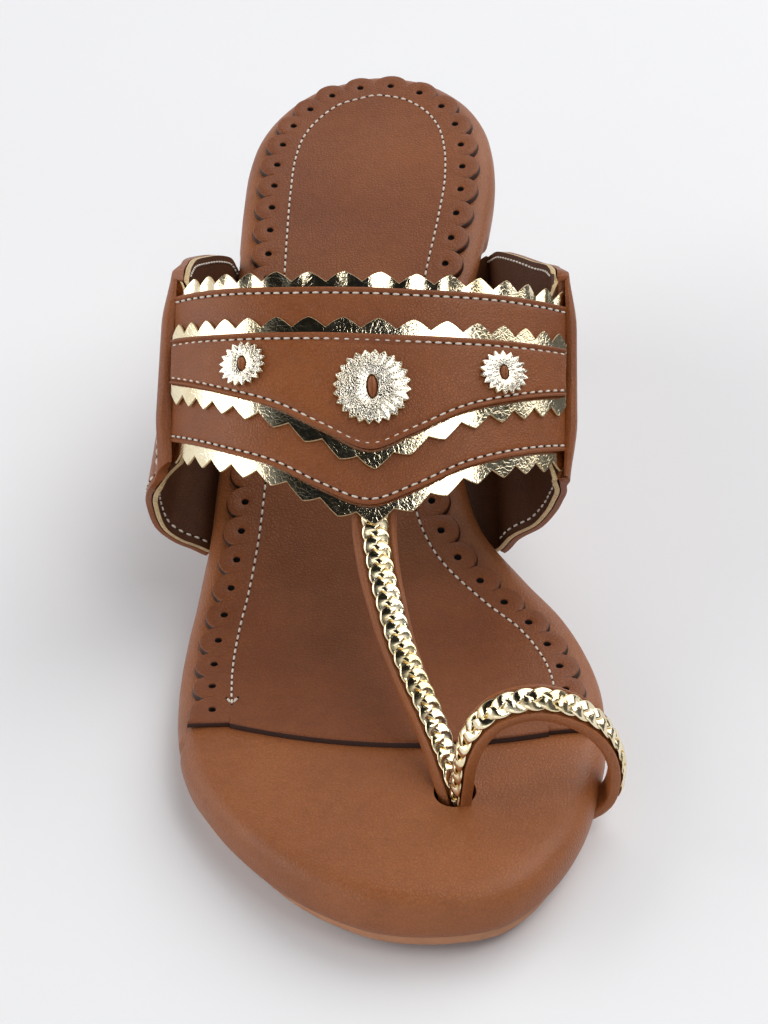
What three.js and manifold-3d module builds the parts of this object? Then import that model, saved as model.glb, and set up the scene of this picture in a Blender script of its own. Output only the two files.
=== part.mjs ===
// Kolhapuri sandal with a toe ring and a block heel, right shoe.
// Millimetres, +Y toward the heel, +X toward the big toe side, +Z up.
// The origin lies on the floor under the middle of the ball of the foot.
import * as THREE from "three";
import { mergeVertices } from "three/addons/utils/BufferGeometryUtils.js";
import Module from "manifold-3d";

const wasm = await Module();
wasm.setup();

// Clearances
const GAP = 0.3;
const REBATE_GAP = 0.35;
const REBATE_OPENING = 1.2;
const REBATE_REACH = 1;

// Bed of the foot: its middle line starts at the back of the heel
const BED_LENGTH = 240;
const BED_WIDTH = 82.3;
const BED_THICK = 9.7;
const BED_ROLL_INSET = 6;
const BALL_STATION = 0.72 * BED_LENGTH;
const CUP_DEPTH = 0.8;
const CUP_END = 95;
const CUP_FADE = 40;
const CUP_BACK = 20;
const CUP_COLUMNS = 4;
const PROFILE_STEP = 0.5;

// Outsole, heel and heel tip
const OUTSOLE_THICK = 3.0;
const OUTSOLE_INSET = 2.0;
const OUTSOLE_WAIST_INSET = 3.6;
const OUTSOLE_WAIST_STATION = 0.417 * BED_LENGTH;
const OUTSOLE_WAIST_SPREAD = 48;
const BREAST_STATION = 56;
const BREAST_GAP = 2;
const REST_FROM = 0.667 * BED_LENGTH;
const REST_TO = 0.942 * BED_LENGTH;
const REST_RISE = 0.75;
const HEEL_INSET = 1.3;
const HEEL_BASE_WIDTH_RATIO = 0.74;
const HEEL_BASE_LENGTH_RATIO = 0.7;
const HEEL_BASE_SETBACK = 6.9;
const HEEL_BASE_MIDDLE = 1.5;
const HEEL_BASE_CENTRE = 18;
const HEEL_WAIST_DIP = 2.2;
const HEEL_TIP_THICK = 4.2;
const HEEL_TIP_OVERHANG = 0.2;

// Sock lining
const SOCK_THICK = 1.1;
const SOCK_HOLE_INSET = 7.2;
const SOCK_ARCH_INSET = 1.8;
const SOCK_ARCH_STATION = 0.583 * BED_LENGTH;
const SOCK_ARCH_SPREAD = 22;
const SCALLOP_PITCH = 7.05;
const SCALLOP_RADIUS = 3.8;
const SCALLOP_STEPS = 4;
const SOCK_FRAME = 3.2;
const SOCK_FRONT_MIDDLE = 0.811 * BED_LENGTH;
const SOCK_FRONT_LATERAL = 0.775 * BED_LENGTH;
const SOCK_FRONT_MEDIAL = 0.808 * BED_LENGTH;
const SOCK_FRONT_INSET = 2.2;
const SOCK_BOW_ROWS = 6;
const SOCK_SAMPLES = 400;

// Instep band: a vault swept along a straight ridge
const INSTEP_HEIGHT = 49.7;
const RIDGE_STATION = 0.4414 * BED_LENGTH;
const RIDGE_SLOPE = THREE.MathUtils.degToRad(42);
const RIDGE_X = 0.018 * BED_WIDTH;
const VAULT_DROP = 16;
const VAULT_HALF = 0.487 * BED_WIDTH;
const VAULT_POWER = 3;
const BAND_DEPTH = 43.1;
const BAND_MIDDLE = -0.42 * BAND_DEPTH;
const TEETH = 16;
const TOOTH_TIP = 3.6;
const TOOTH_VALLEY = 1.5;
const TOOTH_SPREAD = 0.25;
const TUCK_UNDER = 3;
const SEAM_CLEAR = 0.4;
const LINING_REACH = 0.6;

// Thicknesses of the leather and foil layers
const LINING_THICK = 1.5;
const TRIM_THICK = 0.5;
const STRIP_THICK = 0.9;
const MIDDLE_THICK = 1.0;
const ROSETTE_THICK = 0.6;
const THONG_THICK = 1.4;
const PANEL_THICK = 1.2;

// Side walls
const SIDE_LIFT = 1.7;
const WALL_STEPS = 2;
const WALL_ROWS = 3;
const WALL_LEAD = 0.06;
const REBATE_SPREAD = 0.012;
const TUCK_DEPTH = BED_THICK + 1.0;
const FOLDED_EDGE = [2.9, 2.0];

// Straps
const STRAP_THICK = 2.0;
const T_STRAP_HALF = 4.4;
const LOOP_HALF = 3.3;
const LOOP_HEIGHT = 18.6;
const RIBBON_STEPS = 3;
const BRAID_HALF = 2.3;
const BRAID_THICK = 0.9;
const BRAID_RISE = 0.6;
const T_BRAID = { first: 6, end: 27, shift: 0.3 };
const LOOP_BRAID = { first: 7, end: 31, shift: 0.6 };
const SLOT_X = 0.157 * BED_WIDTH;
const SLOT_STATION = 0.8696 * BED_LENGTH;
const SLOT_HALF_X = 4.5;
const SLOT_HALF_Y = 5.2;
const SLOT_REACH = 5;

const COLOUR = {
  tan: 0x96603e,
  sole: 0xb98462,
  gold: 0xd9c07a,
  tip: 0x5a3d2b,
};

// Slope of the bed, degrees down toward the toe.  Columns: share of length, slope
const SLOPES = [
  [0.0, 10.0],
  [0.18, 15.0],
  [0.34, 23.7],
  [0.48, 29.0],
  [0.6, 20.0],
  [0.72, -1.6],
  [0.86, -0.6],
  [1.0, -5.0],
];

// Outline of the bed laid flat, as shares of its length and its width.
// Columns: station, lateral x, medial x
const OUTLINE = scaled([
  [0.0042, 0.04, 0.04],
  [0.01, -0.043, 0.125],
  [0.0233, -0.135, 0.204],
  [0.0542, -0.226, 0.29],
  [0.0917, -0.287, 0.34],
  [0.1333, -0.318, 0.358],
  [0.1833, -0.333, 0.354],
  [0.2417, -0.344, 0.326],
  [0.3125, -0.356, 0.282],
  [0.3833, -0.372, 0.245],
  [0.45, -0.392, 0.225],
  [0.5083, -0.412, 0.23],
  [0.5583, -0.429, 0.265],
  [0.6083, -0.452, 0.357],
  [0.65, -0.474, 0.44],
  [0.6917, -0.487, 0.488],
  [0.7375, -0.488, 0.512],
  [0.7833, -0.476, 0.51],
  [0.8292, -0.441, 0.493],
  [0.8688, -0.386, 0.469],
  [0.9063, -0.312, 0.433],
  [0.9417, -0.224, 0.379],
  [0.9688, -0.126, 0.318],
  [0.9867, -0.027, 0.248],
  [0.9942, 0.113, 0.113],
], BED_LENGTH, BED_WIDTH, BED_WIDTH);

// Edge roll of the bed, from the top face round to the under face, as shares.
// Columns: inset from the outline, depth under the top face
const BED_ROLL = scaled([
  [1, 0],
  [0.533, 0.031],
  [0.217, 0.134],
  [0.05, 0.299],
  [0, 0.536],
  [0.083, 0.825],
  [0.283, 1],
], BED_ROLL_INSET, BED_THICK);

// Edge of the outsole, from its upper face down.
// Columns: extra inset, share of the thickness
const OUTSOLE_ROLL = [
  [0.5, 0],
  [0, 0.2],
  [0.2, 0.75],
  [0.9, 1],
];

// Edge of the heel tip.  Columns: extra inset, share of the thickness
const TIP_ROLL = [
  [0.2, 1],
  [0, 0.88],
  [0.3, 0.14],
  [0.9, 0],
];

// Edges across the band, measured along the ridge from its back point, as shares.
// Columns: x, back edge, middle band back, middle band front, front edge
const BAND_EDGES = scaled([
  [-0.488, 0.123, -0.104, -0.304, -0.552],
  [-0.338, 0.067, -0.165, -0.439, -0.691],
  [-0.207, 0.028, -0.2, -0.548, -0.8],
  [-0.097, 0.009, -0.22, -0.664, -0.919],
  [0.018, -0.009, -0.241, -0.77, -1.009],
  [0.122, -0.03, -0.26, -0.71, -0.956],
  [0.243, -0.044, -0.276, -0.615, -0.858],
  [0.375, -0.049, -0.281, -0.548, -0.789],
  [0.507, -0.042, -0.271, -0.487, -0.731],
], BED_WIDTH, BAND_DEPTH, BAND_DEPTH, BAND_DEPTH, BAND_DEPTH);

// Seams where the side panels start, as shares of the bed width and the band depth.
// Columns: x at the back, x at the front, place along the ridge at the back, at the front
const SEAMS = {
  lateral: { x: [-0.461, -0.493], ends: [0.2, -0.65] },
  medial: { x: [0.505, 0.467], ends: [0.093, -0.858] },
};

// Side walls from the seam down, as shares of bed width, bed length and instep height.
// A height under the top of the bed is a share of the bed thickness.
// Columns: back x, station, height, front x, station, height
const WALLS = {
  lateral: [
    [-0.458, 0.3537, 0.565, -0.546, 0.5513, 0.395],
    [-0.429, 0.3168, 0.35, -0.563, 0.544, 0.18],
    [-0.399, 0.2849, 0.157, -0.551, 0.5465, 0.02],
    [-0.384, 0.2665, 0.025, -0.515, 0.5499, -0.31],
    [-0.377, 0.2593, -0.394, -0.474, 0.5508, -0.62],
  ],
  medial: [
    [0.496, 0.3856, 0.589, 0.472, 0.5858, 0.429],
    [0.453, 0.3516, 0.393, 0.458, 0.5792, 0.311],
    [0.403, 0.3121, 0.197, 0.441, 0.5745, 0.186],
    [0.372, 0.2826, 0.045, 0.405, 0.5719, 0.056],
    [0.357, 0.2651, -0.388, 0.352, 0.569, -0.22],
  ],
};

// Ends of the side walls under the bed, in the same shares, with the depth of the
// vault face under the top of the bed as a share of the tuck depth.
// Columns: back x, station, front x, station, depth
const TUCKS = {
  lateral: scaled([
    [-0.367, 0.2521, -0.44, 0.5521, 0.785],
    [-0.33, 0.2521, -0.384, 0.5521, 1],
    [-0.243, 0.2562, -0.292, 0.5437, 1],
  ], BED_WIDTH, BED_LENGTH, BED_WIDTH, BED_LENGTH, TUCK_DEPTH),
  medial: scaled([
    [0.343, 0.2521, 0.313, 0.5667, 0.766],
    [0.299, 0.2521, 0.25, 0.5667, 1],
    [0.219, 0.2562, 0.158, 0.5563, 1],
  ], BED_WIDTH, BED_LENGTH, BED_WIDTH, BED_LENGTH, TUCK_DEPTH),
};

// Strap from the point of the band to the slot, in the same shares.
// Columns: x, station, height, half width, then the direction across the strap
const T_STRAP = ribbonTable([
  [0.017, 0.5939, 0.726, 1, 1, 0, 0],
  [0.012, 0.6348, 0.667, 1, 1, 0, 0],
  [0.005, 0.672, 0.59, 0.977, 1, 0.02, 0],
  [0.011, 0.7163, 0.503, 0.909, 1, 0.06, 0],
  [0.026, 0.7438, 0.416, 0.841, 1, 0.14, 0.05],
  [0.045, 0.7698, 0.328, 0.773, 1, 0.26, 0.1],
  [0.072, 0.7959, 0.243, 0.727, 1, 0.5, 0.15],
  [0.102, 0.8201, 0.161, 0.682, 1, 0.75, 0.2],
  [0.125, 0.8427, 0.08, 0.636, 0.9, 1, 0.2],
  [0.139, 0.86, 0.003, 0.591, 0.8, 1, 0.1],
  [0.145, 0.8698, -0.4, 0.523, 0.6, 1, 0],
  [0.146, 0.8728, -0.731, 0.477, 0.4, 1, 0],
], INSTEP_HEIGHT, T_STRAP_HALF);

// Loop for the big toe, from the slot over the toe and under the edge of the bed
const TOE_LOOP = ribbonTable([
  [0.169, 0.8761, -0.733, 0.667, -0.3, 1, 0],
  [0.173, 0.8774, -0.176, 0.727, -0.3, 1, 0.1],
  [0.182, 0.8771, 0.252, 0.848, -0.3, 1, 0.3],
  [0.193, 0.8762, 0.532, 0.939, -0.2, 1, 0.5],
  [0.219, 0.8736, 0.791, 0.97, -0.1, 1, 0.6],
  [0.265, 0.8695, 0.964, 1, 0, 1, 0.65],
  [0.343, 0.8652, 1.002, 1, 0, 1, 0.65],
  [0.413, 0.8616, 0.868, 1, 0, 1, 0.6],
  [0.469, 0.8589, 0.632, 1, 0.05, 1, 0.4],
  [0.503, 0.857, 0.331, 0.97, 0.08, 1, 0.2],
  [0.512, 0.8559, 0.019, 0.97, 0.08, 1, 0.1],
  [0.495, 0.8552, -0.56, 0.939, 0.05, 1, 0.05],
  [0.447, 0.8546, -0.87, 0.939, 0, 1, 0],
  [0.371, 0.8546, -0.89, 0.909, 0, 1, 0],
], LOOP_HEIGHT, LOOP_HALF);

// Rosettes.  Columns: name, x and place along the ridge as shares, radius, teeth,
// slot half sizes
const ROSETTES = [
  ["centre", 0.019, -0.49, 7.5, 24, 1.1, 2.4],
  ["lateral", -0.276, -0.323, 4.4, 18, 0.9, 1.6],
  ["medial", 0.318, -0.434, 4.4, 18, 0.9, 1.6],
];
const ROSETTE_TOOTH = 0.9;
const THONG_SIDES = 12;
const THONG_EDGE = 0.5;

// Table with each column of shares multiplied by its own size
function scaled(table, ...sizes) {
  return table.map((row) => row.map((share, i) => share * sizes[i]));
}

// Height over the bed: a share of a named height, or of the bed thickness under its top
function raised(share, height) {
  return share * (share < 0 ? BED_THICK : height);
}

function ribbonTable(table, height, half) {
  return table.map(([x, station, rise, wide, ...across]) => [
    x * BED_WIDTH, station * BED_LENGTH, raised(rise, height), wide * half, ...across]);
}

// Linear reading of a table whose first column rises
function read(table, at, column) {
  const last = table.length - 1;
  if (at <= table[0][0]) {
    return table[0][column];
  }
  for (let i = 0; i < last; i++) {
    const [a, b] = [table[i], table[i + 1]];
    if (at <= b[0]) {
      const u = (at - a[0]) / (b[0] - a[0]);
      return a[column] + (b[column] - a[column]) * u;
    }
  }
  return table[last][column];
}

// Smooth reading of the same kind of table
function readSmooth(table, at, column) {
  const last = table.length - 1;
  let i = 0;
  while (i < last - 1 && at > table[i + 1][0]) {
    i++;
  }
  const knot = (k) => table[Math.min(Math.max(k, 0), last)];
  const [p, a, b, n] = [knot(i - 1), knot(i), knot(i + 1), knot(i + 2)];
  const slope = (q, r) => (r[column] - q[column]) / Math.max(r[0] - q[0], 1e-9);
  const span = b[0] - a[0];
  const u = Math.min(Math.max((at - a[0]) / span, 0), 1);
  const startSlope = slope(p, b) * span;
  const endSlope = slope(a, n) * span;
  const u2 = u * u;
  const u3 = u2 * u;
  return (2 * u3 - 3 * u2 + 1) * a[column] + (u3 - 2 * u2 + u) * startSlope
    + (3 * u2 - 2 * u3) * b[column] + (u3 - u2) * endSlope;
}

// Side view of the bed, worked out once by adding up its slope
const PROFILE_START = -6;
const PROFILE_MARGIN = 10;
const PROFILE_END = BED_LENGTH + PROFILE_MARGIN;
const profile = [];
for (let s = PROFILE_START, y = 0, z = 0; s <= PROFILE_END; s += PROFILE_STEP) {
  const slope = THREE.MathUtils.degToRad(read(SLOPES, s / BED_LENGTH, 1));
  profile.push([s, y, z, slope]);
  y -= Math.cos(slope) * PROFILE_STEP;
  z -= Math.sin(slope) * PROFILE_STEP;
}
const ballY = read(profile, BALL_STATION, 1);
const ballZ = read(profile, BALL_STATION, 2) - (BED_THICK + GAP + OUTSOLE_THICK);

// Point of the shoe at a flat place x, station and a height over the bed
function bed(x, station, height) {
  const slope = read(profile, station, 3);
  const y = read(profile, station, 1) - ballY - Math.sin(slope) * height;
  const z = read(profile, station, 2) - ballZ + Math.cos(slope) * height;
  return new THREE.Vector3(x, y, z);
}

// Closed flat outline as a smooth curve, with x and station as its x and y
const outlineKnots = [
  ...OUTLINE.map(([s, lateral]) => new THREE.Vector3(lateral, s, 0)),
  ...OUTLINE.slice(1, -1).reverse().map(([s, , medial]) => new THREE.Vector3(medial, s, 0)),
];
const outlineCurve = new THREE.CatmullRomCurve3(outlineKnots, true, "centripetal");
const OUTLINE_SPANS = OUTLINE.length - 1;

// Place on the outline: row counts spans from the heel, inset is toward the middle
function edge(row, medial, inset) {
  const count = outlineKnots.length;
  const at = (k) => outlineCurve.getPoint((((k / count) % 1) + 1) % 1);
  const place = medial ? count - row : row;
  const here = at(place);
  const ahead = at(place + 0.05).sub(at(place - 0.05)).normalize();
  return [here.x + ahead.y * inset, here.y - ahead.x * inset];
}

// Row of the outline table at a station, for either side
function rowAt(station, medial) {
  let low = 0.5;
  let high = OUTLINE_SPANS - 0.5;
  for (let halving = 0; halving < 40; halving++) {
    const middle = (low + high) / 2;
    const [, s] = edge(middle, medial, 0);
    if (s < station) {
      low = middle;
    } else {
      high = middle;
    }
  }
  return (low + high) / 2;
}

// Shallow cup of the heel seat, as a height
function cup(x, station) {
  const fade = Math.min(Math.max((CUP_END - station) / CUP_FADE, 0), 1);
  const lateral = readSmooth(OUTLINE, station, 1);
  const medial = readSmooth(OUTLINE, station, 2);
  const half = Math.max((medial - lateral) / 2 - BED_ROLL[0][0], 1);
  const u = Math.min(Math.abs(x - (medial + lateral) / 2) / half, 1);
  const ends = Math.min(station / CUP_BACK, 1);
  return -CUP_DEPTH * fade * ends * (1 - u * u);
}

// Gathers faces of a solid; equal points are joined later
class Skin {
  constructor() {
    this.points = [];
  }

  triangle(a, b, c) {
    this.points.push(a, b, c);
  }

  quad(a, b, c, d) {
    this.triangle(a, b, c);
    this.triangle(a, c, d);
  }

  // Wall between two closed loops of the same count
  wall(lower, upper) {
    const count = lower.length;
    for (let i = 0; i < count; i++) {
      const j = (i + 1) % count;
      this.quad(lower[i], lower[j], upper[j], upper[i]);
    }
  }

  // Face across a grid of rows
  sheet(rows, flip) {
    for (let i = 0; i + 1 < rows.length; i++) {
      for (let j = 0; j + 1 < rows[i].length; j++) {
        const [a, b] = [rows[i][j], rows[i][j + 1]];
        const [c, d] = [rows[i + 1][j + 1], rows[i + 1][j]];
        if (flip) {
          this.quad(d, c, b, a);
        } else {
          this.quad(a, b, c, d);
        }
      }
    }
  }

  // Flat or domed face over a loop
  cap(loop) {
    for (let i = 1; i + 1 < loop.length; i++) {
      this.triangle(loop[0], loop[i], loop[i + 1]);
    }
  }

  // Walls between rings that follow one another, closed by a cap at each end
  tube(rings) {
    rings.slice(1).forEach((ring, k) => this.wall(rings[k], ring));
    this.cap(rings[0].slice().reverse());
    this.cap(rings[rings.length - 1]);
  }

  geometry() {
    const key = (p) => p.toArray().map((v) => Math.round(v * 1e4)).join();
    const seen = new Map();
    const positions = [];
    const index = [];
    for (let t = 0; t < this.points.length; t += 3) {
      const corners = [0, 1, 2].map((k) => {
        const p = this.points[t + k];
        const name = key(p);
        if (!seen.has(name)) {
          seen.set(name, positions.length / 3);
          positions.push(p.x, p.y, p.z);
        }
        return seen.get(name);
      });
      if (new Set(corners).size === 3) {
        index.push(...corners);
      }
    }
    return closedGeometry(positions, index);
  }
}

function closedGeometry(positions, index) {
  const volume = signedVolume(positions, index);
  if (volume < 0) {
    for (let t = 0; t < index.length; t += 3) {
      [index[t], index[t + 1]] = [index[t + 1], index[t]];
    }
  }
  const geometry = new THREE.BufferGeometry();
  geometry.setAttribute("position", new THREE.Float32BufferAttribute(positions, 3));
  geometry.setIndex(index);
  return geometry;
}

function signedVolume(positions, index) {
  const corner = (k) => new THREE.Vector3(...positions.slice(3 * k, 3 * k + 3));
  let sum = 0;
  for (let t = 0; t < index.length; t += 3) {
    const [a, b, c] = [corner(index[t]), corner(index[t + 1]), corner(index[t + 2])];
    sum += a.dot(b.cross(c));
  }
  return sum / 6;
}

function toManifold(geometry) {
  const bare = geometry.clone();
  bare.deleteAttribute("normal");
  bare.deleteAttribute("uv");
  const merged = mergeVertices(bare, 1e-4);
  return new wasm.Manifold(new wasm.Mesh({
    numProp: 3,
    vertProperties: new Float32Array(merged.attributes.position.array),
    triVerts: new Uint32Array(merged.index.array),
  }));
}

// Largest body of a cut solid, without any sliver that the cut leaves loose
function mainBody(solid) {
  return solid.decompose().reduce((kept, body) => (body.volume() > kept.volume() ? body : kept));
}

function fromManifold(solid) {
  const mesh = solid.getMesh();
  return closedGeometry(Array.from(mesh.vertProperties), Array.from(mesh.triVerts));
}

// Rows of points from the lateral to the medial side of a loop of paired points
function across(loop, columns, place) {
  const count = loop.length;
  const rows = [];
  for (let i = 0; i < count / 2; i++) {
    const [a, b] = [loop[i], loop[count - 1 - i]];
    const row = [];
    for (let j = 0; j <= columns; j++) {
      const u = j / columns;
      const rim = j % columns === 0;
      row.push(place(a[0] + (b[0] - a[0]) * u, a[1] + (b[1] - a[1]) * u, rim));
    }
    rows.push(row);
  }
  return rows;
}

// Loop of flat places: out along the lateral side and back along the medial one
function flatLoop(rows, insetAt) {
  const side = (medial) => rows.map((row) => edge(row, medial, insetAt(row)));
  return [...side(false), ...side(true).reverse()];
}

function spread(from, to, count) {
  return Array.from({ length: count + 1 }, (_, i) => from + ((to - from) * i) / count);
}

// Solid from flat loops at rising depths, each placed by its own function.
// The top and the under face are spanned in rows from side to side.
function layered(levels, topColumns, topPlace) {
  const skin = new Skin();
  const rings = levels.map(({ flat, place }) => flat.map((p) => place(...p)));
  for (let k = 0; k + 1 < rings.length; k++) {
    skin.wall(rings[k + 1], rings[k]);
  }
  const top = levels[0];
  const under = levels[levels.length - 1];
  skin.sheet(across(top.flat, topColumns, topPlace || top.place), true);
  skin.sheet(across(under.flat, 1, under.place), false);
  return skin.geometry();
}

// Bed of the foot
const BED_ROWS = spread(0, OUTLINE_SPANS, 42);

function bedGeometry() {
  const levels = BED_ROLL.map(([inset, depth]) => ({
    flat: flatLoop(BED_ROWS, () => inset),
    place: (x, s) => bed(x, s, -depth),
  }));
  return layered(levels, CUP_COLUMNS, (x, s, rim) => bed(x, s, rim ? 0 : cup(x, s)));
}

// Outsole, from the front of the heel to the toe, with a flat rest under the forefoot
function outsoleGeometry() {
  const rows = spread(0, 1, 34);
  const side = (medial, extra) => {
    const from = rowAt(BREAST_STATION, medial);
    return rows.map((u) => {
      const row = from + (OUTLINE_SPANS - from) * u;
      const [, s] = edge(row, medial, 0);
      const waist = Math.exp(-(((s - OUTSOLE_WAIST_STATION) / OUTSOLE_WAIST_SPREAD) ** 2));
      const inset = OUTSOLE_INSET + (OUTSOLE_WAIST_INSET - OUTSOLE_INSET) * waist;
      return edge(row, medial, inset + extra);
    });
  };
  const levels = OUTSOLE_ROLL.map(([extra, share]) => ({
    flat: [...side(false, extra), ...side(true, extra).reverse()],
    place: (x, s) => {
      const p = bed(x, s, -(BED_THICK + GAP + OUTSOLE_THICK * share));
      const resting = share === 1 && p.z < REST_RISE && s > REST_FROM && s < REST_TO;
      return resting ? p.setZ(0) : p;
    },
  }));
  return layered(levels, 1);
}

// Block heel and its tip share the outline of the heel seat
const heelRows = spread(0, 1, 20);

function heelFlat(inset) {
  const side = (medial) => {
    const last = rowAt(BREAST_STATION - GAP - BREAST_GAP, medial);
    return heelRows.map((u) => edge(last * u, medial, inset));
  };
  return [...side(false), ...side(true).reverse()];
}

// Place of the heel base under a flat place of the seat
const heelBack = bed(0, 0, 0).y - HEEL_BASE_SETBACK;

function heelBase(x, s, z) {
  const wide = HEEL_BASE_MIDDLE + (x - HEEL_BASE_MIDDLE) * HEEL_BASE_WIDTH_RATIO;
  return new THREE.Vector3(wide, heelBack - s * HEEL_BASE_LENGTH_RATIO, z);
}

function heelGeometry() {
  const flat = heelFlat(HEEL_INSET);
  const levels = spread(0, 1, 5).map((u) => ({
    flat,
    place: (x, s) => {
      const base = heelBase(x, s, HEEL_TIP_THICK + GAP);
      const point = bed(x, s, -(BED_THICK + GAP)).lerp(base, u);
      const centre = new THREE.Vector3(HEEL_BASE_MIDDLE, heelBack - HEEL_BASE_CENTRE, point.z);
      const inward = centre.sub(point).normalize();
      return point.addScaledVector(inward, HEEL_WAIST_DIP * Math.sin(Math.PI * u));
    },
  }));
  return layered(levels, 1);
}

function heelTipGeometry() {
  const levels = TIP_ROLL.map(([inset, share]) => ({
    flat: heelFlat(HEEL_INSET - HEEL_TIP_OVERHANG + inset),
    place: (x, s) => heelBase(x, s, HEEL_TIP_THICK * share),
  }));
  return layered(levels, 1);
}

// Inset of the row of holes, deeper along the arch of the foot
function holeInset(row, medial) {
  const [, s] = edge(row, medial, 0);
  const arch = Math.exp(-(((s - SOCK_ARCH_STATION) / SOCK_ARCH_SPREAD) ** 2));
  return SOCK_HOLE_INSET + (medial ? SOCK_ARCH_INSET * arch : 0);
}

// Scalloped sock lining
function sockGeometry() {
  const sides = [false, true].map((medial) => {
    const front = rowAt(medial ? SOCK_FRONT_MEDIAL : SOCK_FRONT_LATERAL, medial);
    const rows = spread(0, front, SOCK_SAMPLES);
    const fine = rows.map((row) => edge(row, medial, holeInset(row, medial)));
    const lengths = [0];
    for (let i = 1; i < fine.length; i++) {
      const step = Math.hypot(fine[i][0] - fine[i - 1][0], fine[i][1] - fine[i - 1][1]);
      lengths.push(lengths[i - 1] + step);
    }
    return { medial, lengths, rows };
  });
  const teeth = Math.round(sides[0].lengths[SOCK_SAMPLES] / SCALLOP_PITCH);
  const last = teeth * SCALLOP_STEPS;
  const outer = [];
  const inner = [];
  for (const { medial, lengths, rows } of sides) {
    const total = lengths[SOCK_SAMPLES];
    const table = lengths.map((length, i) => [length, rows[i]]);
    const out = [];
    const ins = [];
    for (let k = 0; k <= last; k++) {
      const row = read(table, (total * k) / last, 1);
      const off = ((k % SCALLOP_STEPS) / SCALLOP_STEPS - 0.5) * SCALLOP_PITCH;
      const rise = Math.sqrt(SCALLOP_RADIUS ** 2 - off ** 2);
      const forward = Math.max(0, k - last + SCALLOP_STEPS) / SCALLOP_STEPS;
      const holes = holeInset(row, medial);
      const spreadOut = (holes - SOCK_FRONT_INSET - rise) * forward;
      out.push(edge(row, medial, holes - rise - spreadOut));
      if (k % 2 === 0) {
        ins.push(edge(row, medial, holes + SOCK_FRAME));
      }
    }
    outer.push(out);
    inner.push(ins);
  }
  const skin = new Skin();
  const top = (x, s) => bed(x, s, GAP + SOCK_THICK + cup(x, s));
  const under = (x, s) => bed(x, s, GAP + cup(x, s));
  const count = inner[0].length;
  const ends = [inner[0][count - 1], inner[1][count - 1]];
  const bowOf = (u) => 4 * u * (1 - u) * (SOCK_FRONT_MIDDLE - (ends[0][1] + ends[1][1]) / 2);
  const acrossRow = (i) => spread(0, 1, CUP_COLUMNS).map((u) => {
    const [a, b] = [inner[0][i], inner[1][i]];
    const grow = Math.max(0, (i - count + SOCK_BOW_ROWS + 1) / SOCK_BOW_ROWS);
    return [a[0] + (b[0] - a[0]) * u, a[1] + (b[1] - a[1]) * u + bowOf(u) * grow];
  });
  for (const [place, isTop] of [[top, true], [under, false]]) {
    const lay = (flip, ...corners) => {
      const points = corners.map((p) => place(...p));
      skin.triangle(...(flip ? points.reverse() : points));
    };
    for (const side of [0, 1]) {
      const flip = isTop === (side === 0);
      for (let k = 0; k + 2 < outer[side].length; k += 2) {
        const [a, b, c] = outer[side].slice(k, k + 3);
        const [d, e] = inner[side].slice(k / 2, k / 2 + 2);
        lay(!flip, a, b, d);
        lay(!flip, b, e, d);
        lay(!flip, b, c, e);
      }
    }
    const rows = inner[0].map((_, i) => acrossRow(i).map((p) => place(...p)));
    skin.sheet(rows, isTop);
  }
  const rim = (place) => [
    ...outer[0],
    ...acrossRow(count - 1),
    ...outer[1].slice().reverse(),
  ].map((p) => place(...p));
  skin.wall(rim(under), rim(top));
  return skin.geometry();
}

// Instep band as a vault: q runs from the lateral seam to the medial one
const alongRidge = new THREE.Vector3(0, Math.cos(RIDGE_SLOPE), Math.sin(RIDGE_SLOPE));
const downRidge = new THREE.Vector3(0, Math.sin(RIDGE_SLOPE), -Math.cos(RIDGE_SLOPE));
const ridgeBack = bed(0, RIDGE_STATION, INSTEP_HEIGHT);

// Layers of the band as offsets from the face of the vault, each laid on the last
const LAYERS = (() => {
  const below = (outer, thick) => ({ inner: outer - thick, outer });
  const above = (inner, thick) => ({ inner, outer: inner + thick });
  const upperTrim = below(-GAP, TRIM_THICK);
  const strip = below(upperTrim.inner - GAP, STRIP_THICK);
  const lowerTrim = below(strip.inner - GAP, TRIM_THICK);
  const base = below(lowerTrim.inner - GAP, LINING_THICK);
  return {
    base,
    lowerTrim,
    strip,
    upperTrim,
    middle: above(0, MIDDLE_THICK),
    rosette: above(MIDDLE_THICK + GAP, ROSETTE_THICK),
    thong: above(MIDDLE_THICK + GAP, THONG_THICK),
    panel: above(base.outer + GAP, PANEL_THICK),
  };
})();

function vault(x, r, offset) {
  const u = (x - RIDGE_X) / VAULT_HALF;
  const drop = VAULT_DROP * Math.abs(u) ** VAULT_POWER;
  const lean = (VAULT_DROP * VAULT_POWER * Math.abs(u) ** (VAULT_POWER - 1)) / VAULT_HALF;
  const normal = downRidge.clone().negate();
  normal.x = lean * Math.sign(u);
  normal.normalize();
  const point = new THREE.Vector3(x, 0, 0).add(ridgeBack);
  return point.addScaledVector(alongRidge, r)
    .addScaledVector(downRidge, drop)
    .addScaledVector(normal, offset);
}

function seamEnds(side) {
  return SEAMS[side].ends.map((share) => share * BAND_DEPTH);
}

function seamX(side, r) {
  const [back, front] = SEAMS[side].x;
  const [rBack, rFront] = seamEnds(side);
  return BED_WIDTH * (back + ((front - back) * (rBack - r)) / (rBack - rFront));
}

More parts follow.
